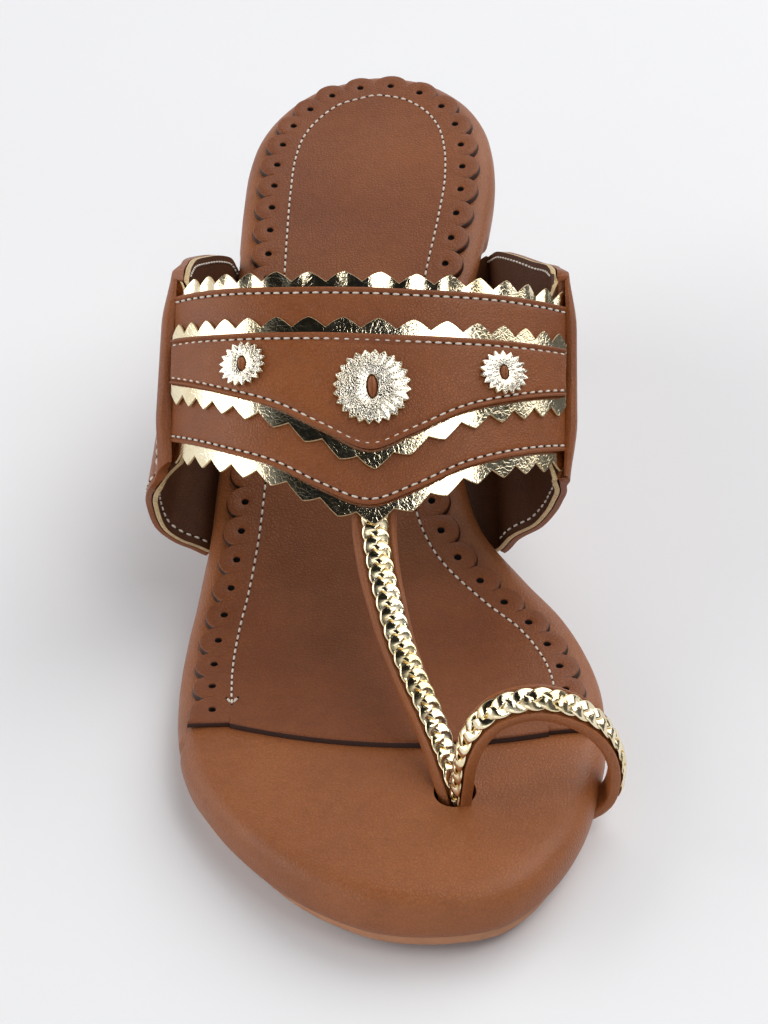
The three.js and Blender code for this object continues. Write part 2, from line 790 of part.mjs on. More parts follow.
// Share of the way across at steps of length over the vault, wider in the middle than at the ends
const COLUMNS_ACROSS = TEETH * 2;
const columnShares = (() => {
  const fine = 600;
  const [a, b] = [seamX("lateral", BAND_MIDDLE), seamX("medial", BAND_MIDDLE)];
  const table = [[0, 0]];
  let total = 0;
  let before = vault(a, BAND_MIDDLE, 0);
  for (let i = 1; i <= fine; i++) {
    const here = vault(a + ((b - a) * i) / fine, BAND_MIDDLE, 0);
    total += here.distanceTo(before);
    table.push([total, i / fine]);
    before = here;
  }
  const wider = (t) => t - (TOOTH_SPREAD * Math.sin(2 * Math.PI * t)) / (2 * Math.PI);
  return spread(0, 1, COLUMNS_ACROSS).map((t) => read(table, total * wider(t), 1));
})();

function bandX(q, r, clear) {
  const a = seamX("lateral", r) + clear;
  const b = seamX("medial", r) - clear;
  return a + (b - a) * q;
}

function bandEdge(q, column) {
  return readSmooth(BAND_EDGES, bandX(q, BAND_MIDDLE, 0), column);
}

// Closed sheet of constant thickness over the vault between two edges
function overlay(frontAt, backAt, layer, rows) {
  const grid = (offset) => columnShares.map((q, i) => {
    const [front, back] = [frontAt(q, i), backAt(q, i)];
    return spread(0, 1, rows).map((w) => {
      const r = front + (back - front) * w;
      return vault(bandX(q, r, SEAM_CLEAR), r, offset);
    });
  });
  return slab(grid(layer.inner), grid(layer.outer));
}

// Solid between two grids of the same size
function slab(inner, outer) {
  const skin = new Skin();
  skin.sheet(inner, false);
  skin.sheet(outer, true);
  const rim = (grid) => {
    const last = grid.length - 1;
    const end = grid[0].length - 1;
    return [
      ...grid.map((row) => row[0]),
      ...grid[last].slice(1),
      ...grid.slice(0, last).reverse().map((row) => row[end]),
      ...grid[0].slice(1, end).reverse(),
    ];
  };
  skin.wall(rim(inner), rim(outer));
  return skin.geometry();
}

function tooth(i) {
  return i % 2 === 0 ? TOOTH_VALLEY : TOOTH_TIP;
}

// Side wall as rows of back and front points, from the seam to the end under the bed
function wallColumns(side) {
  const q = (share) => (side === "medial" ? 1 - share : share);
  const ends = seamEnds(side);
  const start = (end) => {
    const inside = bandEdge(q(WALL_LEAD), end === 0 ? 1 : 4);
    return [
      vault(bandX(q(WALL_LEAD), inside, 0), inside, 0),
      vault(bandX(q(0), ends[end], 0), ends[end], 0),
    ];
  };
  const placed = (x, station, rise) => bed(
    x * BED_WIDTH, station * BED_LENGTH, raised(rise, INSTEP_HEIGHT));
  const knots = [0, 1].map((end) => [
    ...start(end),
    ...WALLS[side].map((row) => placed(...row.slice(3 * end, 3 * end + 3))),
    ...TUCKS[side].map((row) => bed(row[2 * end], row[2 * end + 1], -row[4])),
  ]);
  const curves = knots.map((points) => new THREE.CatmullRomCurve3(points, false, "centripetal"));
  const spans = knots[0].length - 1;
  const steps = (spans - 1) * WALL_STEPS;
  return {
    steps,
    at: (k) => curves.map((curve) => curve.getPoint((1 + Math.max(k, -0.9) / WALL_STEPS) / spans)),
  };
}

// How far the under face of the bed bends from a straight line between the wall's ends
function underSag(side, k, w) {
  const [backX, backS, frontX, frontS, depth] = TUCKS[side][1];
  const x = frontX + (backX - frontX) * w;
  const s = frontS + (backS - frontS) * w;
  const straight = bed(frontX, frontS, -depth).lerp(bed(backX, backS, -depth), w);
  const share = Math.min(Math.max(k / ((WALLS[side].length + 1) * WALL_STEPS), 0), 1);
  return bed(x, s, -depth).sub(straight).multiplyScalar(share * share);
}

// Point of a side wall with the offset along its outward normal
function wallPoint(side, k, w, offset) {
  const { at } = walls[side];
  const on = (column, share) => {
    const [back, front] = at(column);
    return front.lerp(back, share).add(underSag(side, column, share));
  };
  if (k === 0) {
    const [rBack, rFront] = seamEnds(side);
    const r = rFront + (rBack - rFront) * w;
    return vault(seamX(side, r), r, offset);
  }
  const step = 0.15;
  const here = on(k, w);
  const down = on(Math.min(k + step, walls[side].steps), w).sub(on(k - step, w));
  const [back, front] = at(k);
  const normal = down.cross(back.sub(front)).normalize();
  if (side === "medial") {
    normal.negate();
  }
  return here.addScaledVector(normal, -offset);
}

const walls = { lateral: wallColumns("lateral"), medial: wallColumns("medial") };

function lift(k) {
  const u = Math.min(Math.max(k / (2 * WALL_STEPS), 0), 1);
  return SIDE_LIFT * u * u * (3 - 2 * u);
}

// Whole instep wall, from one end under the bed over the instep to the other
function instepGrid(offsets, grow) {
  const wallPart = (side) => {
    const { steps } = walls[side];
    const part = [];
    for (let k = 1; k <= steps; k++) {
      part.push(spread(-grow, 1 + grow, WALL_ROWS).map(
        (w) => wallPoint(side, k, w, offsets(k))));
    }
    if (grow > 0) {
      const [last, before] = [part[steps - 1], part[steps - 2]];
      part.push(last.map((p, i) => p.clone().sub(before[i]).setLength(1).add(p)));
    }
    return part;
  };
  const middle = columnShares.map((q) => {
    const seam = Math.min(q, 1 - q) < 1e-6;
    const inside = [bandEdge(q, 4) + LINING_REACH, bandEdge(q, 1) - LINING_REACH];
    const ends = seam ? seamEnds(q < 0.5 ? "lateral" : "medial").reverse() : inside;
    return spread(0, 1, WALL_ROWS).map((w) => {
      const r = ends[0] + (ends[1] - ends[0]) * w;
      return vault(bandX(q, r, 0), r, offsets(0));
    });
  });
  return [...wallPart("lateral").reverse(), ...middle, ...wallPart("medial")];
}

function instepGeometry(inner, outer, grow) {
  return slab(
    instepGrid((k) => inner + lift(k), grow),
    instepGrid((k) => outer + lift(k), grow));
}

// Side panel over the seam and down to the edge of the bed
function panelGeometry(side) {
  const { steps } = walls[side];
  const last = steps - 2 * WALL_STEPS;
  const grid = (offsetAt) => spread(0, last, last).map(
    (k) => spread(0, 1, WALL_ROWS).map((w) => wallPoint(side, k, w, offsetAt(k))));
  const { inner, outer } = LAYERS.panel;
  return slab(
    grid((k) => inner + lift(k)),
    grid((k) => outer + lift(k) + (FOLDED_EDGE[k] || 0)));
}

// Ribbon through a table of places
const SECTION = [
  [1, 0.3], [0.86, 1], [-0.86, 1], [-1, 0.3], [-1, -0.3], [-0.86, -1], [0.86, -1], [1, -0.3],
];

function ribbonFrames(table) {
  const centre = new THREE.CatmullRomCurve3(
    table.map((row) => bed(...row.slice(0, 3))), false, "centripetal");
  const spans = table.length - 1;
  return spread(0, spans, spans * RIBBON_STEPS).map((u) => {
    const point = centre.getPoint(u / spans);
    const tangent = centre.getTangent(Math.min(Math.max(u / spans, 1e-4), 1 - 1e-4));
    const indexed = table.map((row, i) => [i, ...row]);
    const wide = new THREE.Vector3(
      readSmooth(indexed, u, 5), readSmooth(indexed, u, 6), readSmooth(indexed, u, 7));
    wide.addScaledVector(tangent, -wide.dot(tangent)).normalize();
    const up = wide.clone().cross(tangent).normalize();
    return { point, wide, up, half: readSmooth(indexed, u, 4) };
  });
}

function ribbonGeometry(table, side, grow) {
  const skin = new Skin();
  skin.tube(ribbonFrames(table).map(({ point, wide, up, half }) => SECTION.map(
    ([a, b]) => point.clone()
      .addScaledVector(wide, a * (half + grow))
      .addScaledVector(up, side * b * (STRAP_THICK / 2 + grow)))));
  return skin.geometry();
}

// Braid section.  Columns: place across as a share, share of the crest at that place
const BRAID_SECTION = [
  [-1, 0.35],
  [-0.45, 1],
  [0.45, 1],
  [1, 0.35],
];
const BRAID_DIP = 0.25;

// Braid lying on a strap, with strands rising in turn on either side
function braidGeometry(table, { first, end, shift }) {
  const frames = ribbonFrames(table).slice(first, end);
  const low = STRAP_THICK / 2 + GAP;
  const grid = (rise) => frames.map(({ point, wide, up }, i) => BRAID_SECTION.map(([a, swell]) => {
    const crest = (a < 0) === (i % 2 === 0) ? 1 : BRAID_DIP;
    const height = low + rise * (BRAID_THICK + BRAID_RISE * crest * swell);
    return point.clone()
      .addScaledVector(wide, a * BRAID_HALF + shift)
      .addScaledVector(up, -height);
  }));
  return slab(grid(0), grid(1));
}

// Ring of points on the vault around a place, with the reach along both ways
function vaultRing([, x, r], count, reach, offset) {
  return spread(0, count - 1, count - 1).map((i) => {
    const turn = (2 * Math.PI * i) / count;
    const [a, b] = reach(i);
    return vault(
      x * BED_WIDTH + a * Math.cos(turn), r * BAND_DEPTH + b * Math.sin(turn), offset);
  });
}

// Pinked rosette with a slot in its middle
function rosetteGeometry(row) {
  const [, , , radius, teeth, slotX, slotR] = row;
  const ring = (reach, offset) => vaultRing(row, teeth * 2, reach, offset);
  const star = (i) => {
    const size = i % 2 === 0 ? radius : radius - ROSETTE_TOOTH;
    return [size, size];
  };
  const slot = () => [slotX, slotR];
  const { inner, outer } = LAYERS.rosette;
  const skin = new Skin();
  skin.wall(ring(star, inner), ring(star, outer));
  skin.wall(ring(star, outer), ring(slot, outer));
  skin.wall(ring(slot, outer), ring(slot, inner));
  skin.wall(ring(slot, inner), ring(star, inner));
  return skin.geometry();
}

// Leather thong drawn through the slot of a rosette
function thongGeometry(row) {
  const [, , , , , slotX, slotR] = row;
  const { inner, outer } = LAYERS.thong;
  const ring = (share, offset) => vaultRing(
    row, THONG_SIDES, () => [(slotX - GAP) * share, (slotR - GAP) * share], offset);
  const skin = new Skin();
  skin.tube([ring(1, inner), ring(1, outer - THONG_EDGE), ring(0.55, outer)]);
  return skin.geometry();
}

// Oval post through the bed where the two straps go down
function slotGeometry() {
  const count = 20;
  const top = bed(SLOT_X, SLOT_STATION, 0);
  const ring = (z) => spread(0, count - 1, count - 1).map((i) => {
    const turn = (2 * Math.PI * i) / count;
    const x = SLOT_X + SLOT_HALF_X * Math.cos(turn);
    return new THREE.Vector3(x, top.y + SLOT_HALF_Y * Math.sin(turn), z);
  });
  const skin = new Skin();
  skin.tube([ring(top.z - BED_THICK - SLOT_REACH), ring(top.z + SLOT_REACH)]);
  return skin.geometry();
}

const group = new THREE.Group();
group.name = "kolhapuri_sandal";

function addPart(name, geometry, colour) {
  const flat = geometry.index ? geometry.toNonIndexed() : geometry;
  flat.computeVertexNormals();
  const metal = colour === COLOUR.gold ? 0.8 : 0;
  const material = new THREE.MeshStandardMaterial({
    color: colour, roughness: metal ? 0.35 : 0.6, metalness: metal,
  });
  const mesh = new THREE.Mesh(flat, material);
  mesh.name = name;
  group.add(mesh);
}

// Upper: instep wall, toe strap and toe loop joined into one solid
const { base } = LAYERS;
const upper = toManifold(instepGeometry(base.inner, base.outer, 0))
  .add(toManifold(ribbonGeometry(T_STRAP, -1, 0)))
  .add(toManifold(ribbonGeometry(TOE_LOOP, 1, 0)));

// Bed with rebates for the ends of the straps
const loopEnd = TOE_LOOP[TOE_LOOP.length - 1];
const loopRebate = [...TOE_LOOP.slice(8), [loopEnd[0] - REBATE_REACH, ...loopEnd.slice(1)]];
const rebates = toManifold(
  instepGeometry(base.inner - REBATE_GAP, base.outer + REBATE_OPENING, REBATE_SPREAD))
  .add(toManifold(ribbonGeometry(loopRebate, 1, REBATE_GAP)))
  .add(toManifold(slotGeometry()));
const footbed = mainBody(toManifold(bedGeometry()).subtract(rebates));

addPart("outsole", outsoleGeometry(), COLOUR.sole);
addPart("heel", heelGeometry(), COLOUR.tan);
addPart("heel_tip", heelTipGeometry(), COLOUR.tip);
addPart("footbed", fromManifold(footbed), COLOUR.tan);
addPart("sock_lining", sockGeometry(), COLOUR.tan);
addPart("upper", fromManifold(upper), COLOUR.tan);

const backEdge = (q) => bandEdge(q, 1);
const middleBack = (q) => bandEdge(q, 2);
const middleFront = (q) => bandEdge(q, 3);
const frontEdge = (q) => bandEdge(q, 4);

addPart("back_trim", overlay(
  (q) => backEdge(q) - TUCK_UNDER, (q, i) => backEdge(q) + tooth(i),
  LAYERS.lowerTrim, 1), COLOUR.gold);
addPart("front_trim", overlay(
  (q, i) => frontEdge(q) - tooth(i), (q) => frontEdge(q) + TUCK_UNDER,
  LAYERS.lowerTrim, 1), COLOUR.gold);
addPart("back_strip", overlay(
  (q) => middleBack(q) - TUCK_UNDER, backEdge, LAYERS.strip, 1), COLOUR.tan);
addPart("front_strip", overlay(
  frontEdge, (q) => middleFront(q) + TUCK_UNDER, LAYERS.strip, 1), COLOUR.tan);
addPart("middle_back_trim", overlay(
  (q) => middleBack(q) - TUCK_UNDER, (q, i) => middleBack(q) + tooth(i),
  LAYERS.upperTrim, 1), COLOUR.gold);
addPart("middle_front_trim", overlay(
  (q, i) => middleFront(q) - tooth(i), (q) => middleFront(q) + TUCK_UNDER,
  LAYERS.upperTrim, 1), COLOUR.gold);
addPart("middle_band", overlay(middleFront, middleBack, LAYERS.middle, 1), COLOUR.tan);
addPart("lateral_panel", panelGeometry("lateral"), COLOUR.tan);
addPart("medial_panel", panelGeometry("medial"), COLOUR.tan);

for (const row of ROSETTES) {
  addPart(`${row[0]}_rosette`, rosetteGeometry(row), COLOUR.gold);
  addPart(`${row[0]}_thong`, thongGeometry(row), COLOUR.tan);
}
addPart("t_strap_braid", braidGeometry(T_STRAP, T_BRAID), COLOUR.gold);
addPart("toe_loop_braid", braidGeometry(TOE_LOOP, LOOP_BRAID), COLOUR.gold);

export default group;
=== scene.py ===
"""Kolhapuri sandal with a toe ring and a block heel, right shoe.

Lengths are in millimetres until a mesh is made, which is in metres. +Y runs toward the heel,
+X toward the big toe side and +Z up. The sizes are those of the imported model.
"""
from __future__ import annotations

import logging
import math
from dataclasses import dataclass
from enum import Enum
from typing import ClassVar, Sequence

import bpy
import numpy as np
from mathutils import Matrix


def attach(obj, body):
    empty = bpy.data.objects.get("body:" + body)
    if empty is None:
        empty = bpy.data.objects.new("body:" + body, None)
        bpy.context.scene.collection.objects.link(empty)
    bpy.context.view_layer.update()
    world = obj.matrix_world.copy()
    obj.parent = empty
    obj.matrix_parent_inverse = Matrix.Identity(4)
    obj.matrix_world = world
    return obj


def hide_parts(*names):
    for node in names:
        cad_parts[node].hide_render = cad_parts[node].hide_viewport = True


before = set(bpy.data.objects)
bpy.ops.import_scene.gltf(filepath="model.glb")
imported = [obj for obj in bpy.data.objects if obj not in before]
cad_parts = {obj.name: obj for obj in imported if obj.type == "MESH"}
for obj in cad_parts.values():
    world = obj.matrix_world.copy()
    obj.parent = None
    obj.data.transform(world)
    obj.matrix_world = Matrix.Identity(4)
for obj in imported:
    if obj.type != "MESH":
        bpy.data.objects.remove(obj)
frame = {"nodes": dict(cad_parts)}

MM = 0.001
LOG = logging.getLogger("sandal")
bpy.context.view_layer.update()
INSTEP_HEIGHT = 49.7


class Side(Enum):
    """The two sides of the shoe, with the sign of x on each."""

    LATERAL = -1
    MEDIAL = 1


def ramp(value: np.ndarray | float, low: float, high: float) -> np.ndarray:
    """Smooth step of a value from 0 at low to 1 at high."""
    u = np.clip((np.asarray(value, float) - low) / (high - low), 0.0, 1.0)
    return u * u * (3 - 2 * u)


def bump(value: np.ndarray | float, middle: float, spread: float) -> np.ndarray:
    """Bell of height 1 around a middle."""
    return np.exp(-(((np.asarray(value, float) - middle) / spread) ** 2))


def unit(vectors: np.ndarray) -> np.ndarray:
    """Vectors brought to length 1."""
    return vectors / np.maximum(np.linalg.norm(vectors, axis=-1, keepdims=True), 1e-12)


def along(points: np.ndarray) -> np.ndarray:
    """Length along a path up to each of its points."""
    return np.concatenate([[0], np.cumsum(np.linalg.norm(np.diff(points, axis=0), axis=1))])


def signed_power(value: np.ndarray, power: float) -> np.ndarray:
    """Value raised to a power, with its sign kept."""
    return np.sign(value) * np.abs(value) ** power


def read_path(values: np.ndarray, lengths: np.ndarray, at: np.ndarray) -> np.ndarray:
    """Rows of values along a path, read at other lengths of it."""
    return np.column_stack([np.interp(at, lengths, column) for column in values.T])


def vertices_of(mesh: bpy.types.Mesh) -> np.ndarray:
    """Points of a mesh as rows of x, y and z, in metres."""
    flat = np.empty(len(mesh.vertices) * 3)
    mesh.vertices.foreach_get("co", flat)
    return flat.reshape(-1, 3)


def move_vertices(mesh: bpy.types.Mesh, points: np.ndarray) -> None:
    """Moves the points of a mesh to places in millimetres."""
    mesh.vertices.foreach_set("co", (points * MM).ravel())
    mesh.update()


def read_smooth(table: np.ndarray, at: np.ndarray, column: int) -> np.ndarray:
    """Reads a column of a table whose first column rises, as a smooth curve.

    Args:
        table: Rows of numbers, the first column rising.
        at: Places in the first column.
        column: The column that is read.

    Returns:
        The values of the column at those places.
    """
    at = np.asarray(at, float)
    last = len(table) - 1
    i = np.clip(np.searchsorted(table[:, 0], at, side="left") - 1, 0, last - 1)
    before, after = np.maximum(i - 1, 0), np.minimum(i + 2, last)

    def slope(q: np.ndarray, r: np.ndarray) -> np.ndarray:
        """Slope between two rows."""
        return (table[r, column] - table[q, column]) / np.maximum(table[r, 0] - table[q, 0], 1e-9)

    span = table[i + 1, 0] - table[i, 0]
    u = np.clip((at - table[i, 0]) / span, 0, 1)
    start, end = slope(before, i + 1) * span, slope(i, after) * span
    return ((2 * u**3 - 3 * u**2 + 1) * table[i, column] + (u**3 - 2 * u**2 + u) * start
            + (3 * u**2 - 2 * u**3) * table[i + 1, column] + (u**3 - u**2) * end)


@dataclass(frozen=True)
class Spline:
    """Centripetal curve through points, open or closed."""

    points: np.ndarray
    closed: bool = False

    def at(self, t: np.ndarray | float) -> np.ndarray:
        """Points of the curve.

        Args:
            t: Places from 0 to 1 along the curve, counted by its points.

        Returns:
            One point for each place.
        """
        pts = self.points
        count = len(pts)
        t = np.atleast_1d(np.asarray(t, float))
        if self.closed:
            place = (t % 1.0) * count
            i = np.floor(place).astype(int) % count
            weight = place - np.floor(place)
            p0, p1, p2, p3 = (pts[(i + k) % count] for k in (-1, 0, 1, 2))
        else:
            place = np.clip(t, 0, 1) * (count - 1)
            i = np.minimum(np.floor(place).astype(int), count - 2)
            weight = place - i
            ends = np.vstack([2 * pts[0] - pts[1], pts, 2 * pts[-1] - pts[-2]])
            p0, p1, p2, p3 = (ends[i + k] for k in (0, 1, 2, 3))
        gaps = [np.maximum(np.linalg.norm(b - a, axis=1) ** 0.5, 1e-4)[:, None]
                for a, b in ((p0, p1), (p1, p2), (p2, p3))]
        d0, d1, d2 = gaps
        m1 = ((p1 - p0) / d0 - (p2 - p0) / (d0 + d1) + (p2 - p1) / d1) * d1
        m2 = ((p2 - p1) / d1 - (p3 - p1) / (d1 + d2) + (p3 - p2) / d2) * d1
        w = weight[:, None]
        return (p1 + m1 * w + (-3 * p1 + 3 * p2 - 2 * m1 - m2) * w**2
                + (2 * p1 - 2 * p2 + m1 + m2) * w**3)


# Slope of the bed, degrees down toward the toe.  Columns: share of length, slope
SLOPES = np.array([
    [0.0, 10.0],
    [0.18, 15.0],
    [0.34, 23.7],
    [0.48, 29.0],
    [0.6, 20.0],
    [0.72, -1.6],
    [0.86, -0.6],
    [1.0, -5.0],
])
# Outline of the bed laid flat, as shares.  Columns: station, lateral x, medial x
OUTLINE = np.array([
    [0.0042, 0.04, 0.04],
    [0.01, -0.043, 0.125],
    [0.0233, -0.135, 0.204],
    [0.0542, -0.226, 0.29],
    [0.0917, -0.287, 0.34],
    [0.1333, -0.318, 0.358],
    [0.1833, -0.333, 0.354],
    [0.2417, -0.344, 0.326],
    [0.3125, -0.356, 0.282],
    [0.3833, -0.372, 0.245],
    [0.45, -0.392, 0.225],
    [0.5083, -0.412, 0.23],
    [0.5583, -0.429, 0.265],
    [0.6083, -0.452, 0.357],
    [0.65, -0.474, 0.44],
    [0.6917, -0.487, 0.488],
    [0.7375, -0.488, 0.512],
    [0.7833, -0.476, 0.51],
    [0.8292, -0.441, 0.493],
    [0.8688, -0.386, 0.469],
    [0.9063, -0.312, 0.433],
    [0.9417, -0.224, 0.379],
    [0.9688, -0.126, 0.318],
    [0.9867, -0.027, 0.248],
    [0.9942, 0.113, 0.113],
])
# Edge roll of the bed as shares.  Columns: inset, depth
BED_ROLL = np.array([
    [1, 0],
    [0.533, 0.031],
    [0.217, 0.134],
    [0.05, 0.299],
    [0, 0.536],
    [0.083, 0.825],
    [0.283, 1],
])
# Edges across the band as shares.
# Columns: x, back edge, middle band back, middle band front, front edge
BAND_EDGES = np.array([
    [-0.488, 0.123, -0.104, -0.304, -0.552],
    [-0.338, 0.067, -0.165, -0.439, -0.691],
    [-0.207, 0.028, -0.2, -0.548, -0.8],
    [-0.097, 0.009, -0.22, -0.664, -0.919],
    [0.018, -0.009, -0.241, -0.77, -1.009],
    [0.122, -0.03, -0.26, -0.71, -0.956],
    [0.243, -0.044, -0.276, -0.615, -0.858],
    [0.375, -0.049, -0.281, -0.548, -0.789],
    [0.507, -0.042, -0.271, -0.487, -0.731],
])
# Side walls from the seam down, as shares.
# Columns: back x, station, height, front x, station, height
WALLS = {
    Side.LATERAL: np.array([
        [-0.458, 0.3537, 0.565, -0.546, 0.5513, 0.395],
        [-0.429, 0.3168, 0.35, -0.563, 0.544, 0.18],
        [-0.399, 0.2849, 0.157, -0.551, 0.5465, 0.02],
        [-0.384, 0.2665, 0.025, -0.515, 0.5499, -0.31],
        [-0.377, 0.2593, -0.394, -0.474, 0.5508, -0.62],
    ]),
    Side.MEDIAL: np.array([
        [0.496, 0.3856, 0.589, 0.472, 0.5858, 0.429],
        [0.453, 0.3516, 0.393, 0.458, 0.5792, 0.311],
        [0.403, 0.3121, 0.197, 0.441, 0.5745, 0.186],
        [0.372, 0.2826, 0.045, 0.405, 0.5719, 0.056],
        [0.357, 0.2651, -0.388, 0.352, 0.569, -0.22],
    ]),
}
# Ends of the side walls under the bed, as shares.
# Columns: back x, station, front x, station, depth
TUCKS = {
    Side.LATERAL: np.array([
        [-0.367, 0.2521, -0.44, 0.5521, 0.785],
        [-0.33, 0.2521, -0.384, 0.5521, 1],
        [-0.243, 0.2562, -0.292, 0.5437, 1],
    ]),
    Side.MEDIAL: np.array([
        [0.343, 0.2521, 0.313, 0.5667, 0.766],
        [0.299, 0.2521, 0.25, 0.5667, 1],
        [0.219, 0.2562, 0.158, 0.5563, 1],
    ]),
}
# Strap from the point of the band to the slot, as shares.
# Columns: x, station, height, half width, then the direction across the strap
T_STRAP = np.array([
    [0.017, 0.5939, 0.726, 1, 1, 0, 0],
    [0.012, 0.6348, 0.667, 1, 1, 0, 0],
    [0.005, 0.672, 0.59, 0.977, 1, 0.02, 0],
    [0.011, 0.7163, 0.503, 0.909, 1, 0.06, 0],
    [0.026, 0.7438, 0.416, 0.841, 1, 0.14, 0.05],
    [0.045, 0.7698, 0.328, 0.773, 1, 0.26, 0.1],
    [0.072, 0.7959, 0.243, 0.727, 1, 0.5, 0.15],
    [0.102, 0.8201, 0.161, 0.682, 1, 0.75, 0.2],
    [0.125, 0.8427, 0.08, 0.636, 0.9, 1, 0.2],
    [0.139, 0.86, 0.003, 0.591, 0.8, 1, 0.1],
    [0.145, 0.8698, -0.4, 0.523, 0.6, 1, 0],
    [0.146, 0.8728, -0.731, 0.477, 0.4, 1, 0],
])
# Loop for the big toe, in the same columns
TOE_LOOP = np.array([
    [0.169, 0.8761, -0.733, 0.667, -0.3, 1, 0],
    [0.173, 0.8774, -0.176, 0.727, -0.3, 1, 0.1],
    [0.182, 0.8771, 0.252, 0.848, -0.3, 1, 0.3],
    [0.193, 0.8762, 0.532, 0.939, -0.2, 1, 0.5],
    [0.219, 0.8736, 0.791, 0.97, -0.1, 1, 0.6],
    [0.265, 0.8695, 0.964, 1, 0, 1, 0.65],
    [0.343, 0.8652, 1.002, 1, 0, 1, 0.65],
    [0.413, 0.8616, 0.868, 1, 0, 1, 0.6],
    [0.469, 0.8589, 0.632, 1, 0.05, 1, 0.4],
    [0.503, 0.857, 0.331, 0.97, 0.08, 1, 0.2],
    [0.512, 0.8559, 0.019, 0.97, 0.08, 1, 0.1],
    [0.495, 0.8552, -0.56, 0.939, 0.05, 1, 0.05],
    [0.447, 0.8546, -0.87, 0.939, 0, 1, 0],
    [0.371, 0.8546, -0.89, 0.909, 0, 1, 0],
])


class Bed:
    """Bed of the foot: a flat pattern bent along its side view.

    A place on it is an x, a station along the bed from the back of the heel, and a height.
    """

    LENGTH = 240.0
    WIDTH = 82.3
    THICK = 9.7
    ROLL_INSET = 6.0
    GAP = 0.3
    SOLE_THICK = 3.0
    CUP_DEPTH = 0.8
    CUP_END = 95.0
    CUP_FADE = 40.0
    CUP_BACK = 20.0
    STEP = 0.5
    BALL = 0.72
    MARGIN_BACK = 6
    MARGIN_FRONT = 10
    ROW_SAMPLES = 3000

    def __init__(self) -> None:
        """Works out the side view and the outline once."""
        stations = np.arange(-self.MARGIN_BACK, self.LENGTH + self.MARGIN_FRONT + self.STEP / 2,
                             self.STEP)
        slopes = np.radians(np.interp(stations / self.LENGTH, SLOPES[:, 0], SLOPES[:, 1]))
        y = -np.concatenate([[0], np.cumsum(np.cos(slopes[:-1]))]) * self.STEP
        z = -np.concatenate([[0], np.cumsum(np.sin(slopes[:-1]))]) * self.STEP
        ball = self.BALL * self.LENGTH
        self.stations, self.slopes = stations, slopes
        self.y = y - np.interp(ball, stations, y)
        self.z = z - np.interp(ball, stations, z) + self.THICK + self.GAP + self.SOLE_THICK
        self.table = OUTLINE * [self.LENGTH, self.WIDTH, self.WIDTH]
        self.roll = BED_ROLL * [self.ROLL_INSET, self.THICK]
        lateral = self.table[:, [1, 0]]
        medial = self.table[1:-1][::-1][:, [2, 0]]
        knots = np.vstack([lateral, medial])
        self.outline = Spline(np.column_stack([knots, np.zeros(len(knots))]), closed=True)
        self.spans = len(self.table) - 1
        self.knots = len(knots)

    def place(self, x: np.ndarray, station: np.ndarray, height: np.ndarray) -> np.ndarray:
        """Points of the shoe at places of the bed.

        Args:
            x: Distance across, to the medial side.
            station: Distance along the bed from the back of the heel.
            height: Distance over the top of the bed.

        Returns:
            Points with x, y and z on the last axis.
        """
        x, station, height = np.broadcast_arrays(*(np.asarray(v, float)
                                                   for v in (x, station, height)))
        slope = np.interp(station, self.stations, self.slopes)
        y = np.interp(station, self.stations, self.y) - np.sin(slope) * height
        z = np.interp(station, self.stations, self.z) + np.cos(slope) * height
        return np.stack([x, y, z], axis=-1)

    def edge(self, row: np.ndarray, side: Side, inset: np.ndarray | float) -> np.ndarray:
        """Flat places along the outline.

        Args:
            row: Rows of the outline table, counted from the heel.
            side: The side of the shoe.
            inset: Distance from the outline toward the middle.

        Returns:
            Rows of x and station.
        """
        row = np.atleast_1d(np.asarray(row, float))
        at = self.knots - row if side is Side.MEDIAL else row
        here = self.outline.at(at / self.knots)[:, :2]
        ahead = unit(self.outline.at((at + 0.05) / self.knots)[:, :2]
                     - self.outline.at((at - 0.05) / self.knots)[:, :2])
        inward = np.column_stack([ahead[:, 1], -ahead[:, 0]])
        return here + inward * np.broadcast_to(inset, len(here))[:, None]

    def row_at(self, station: float, side: Side) -> float:
        """Row of the outline at a station."""
        rows = np.linspace(0.5, self.spans - 0.5, self.ROW_SAMPLES)
        return float(np.interp(station, self.edge(rows, side, 0)[:, 1], rows))

    def cup(self, x: np.ndarray, station: np.ndarray) -> np.ndarray:
        """Height of the shallow cup of the heel seat."""
        fade = np.clip((self.CUP_END - station) / self.CUP_FADE, 0, 1)
        lateral = read_smooth(self.table, station, 1)
        medial = read_smooth(self.table, station, 2)
        half = np.maximum((medial - lateral) / 2 - self.ROLL_INSET, 1)
        u = np.minimum(np.abs(x - (medial + lateral) / 2) / half, 1)
        return -self.CUP_DEPTH * fade * np.clip(station / self.CUP_BACK, 0, 1) * (1 - u * u)


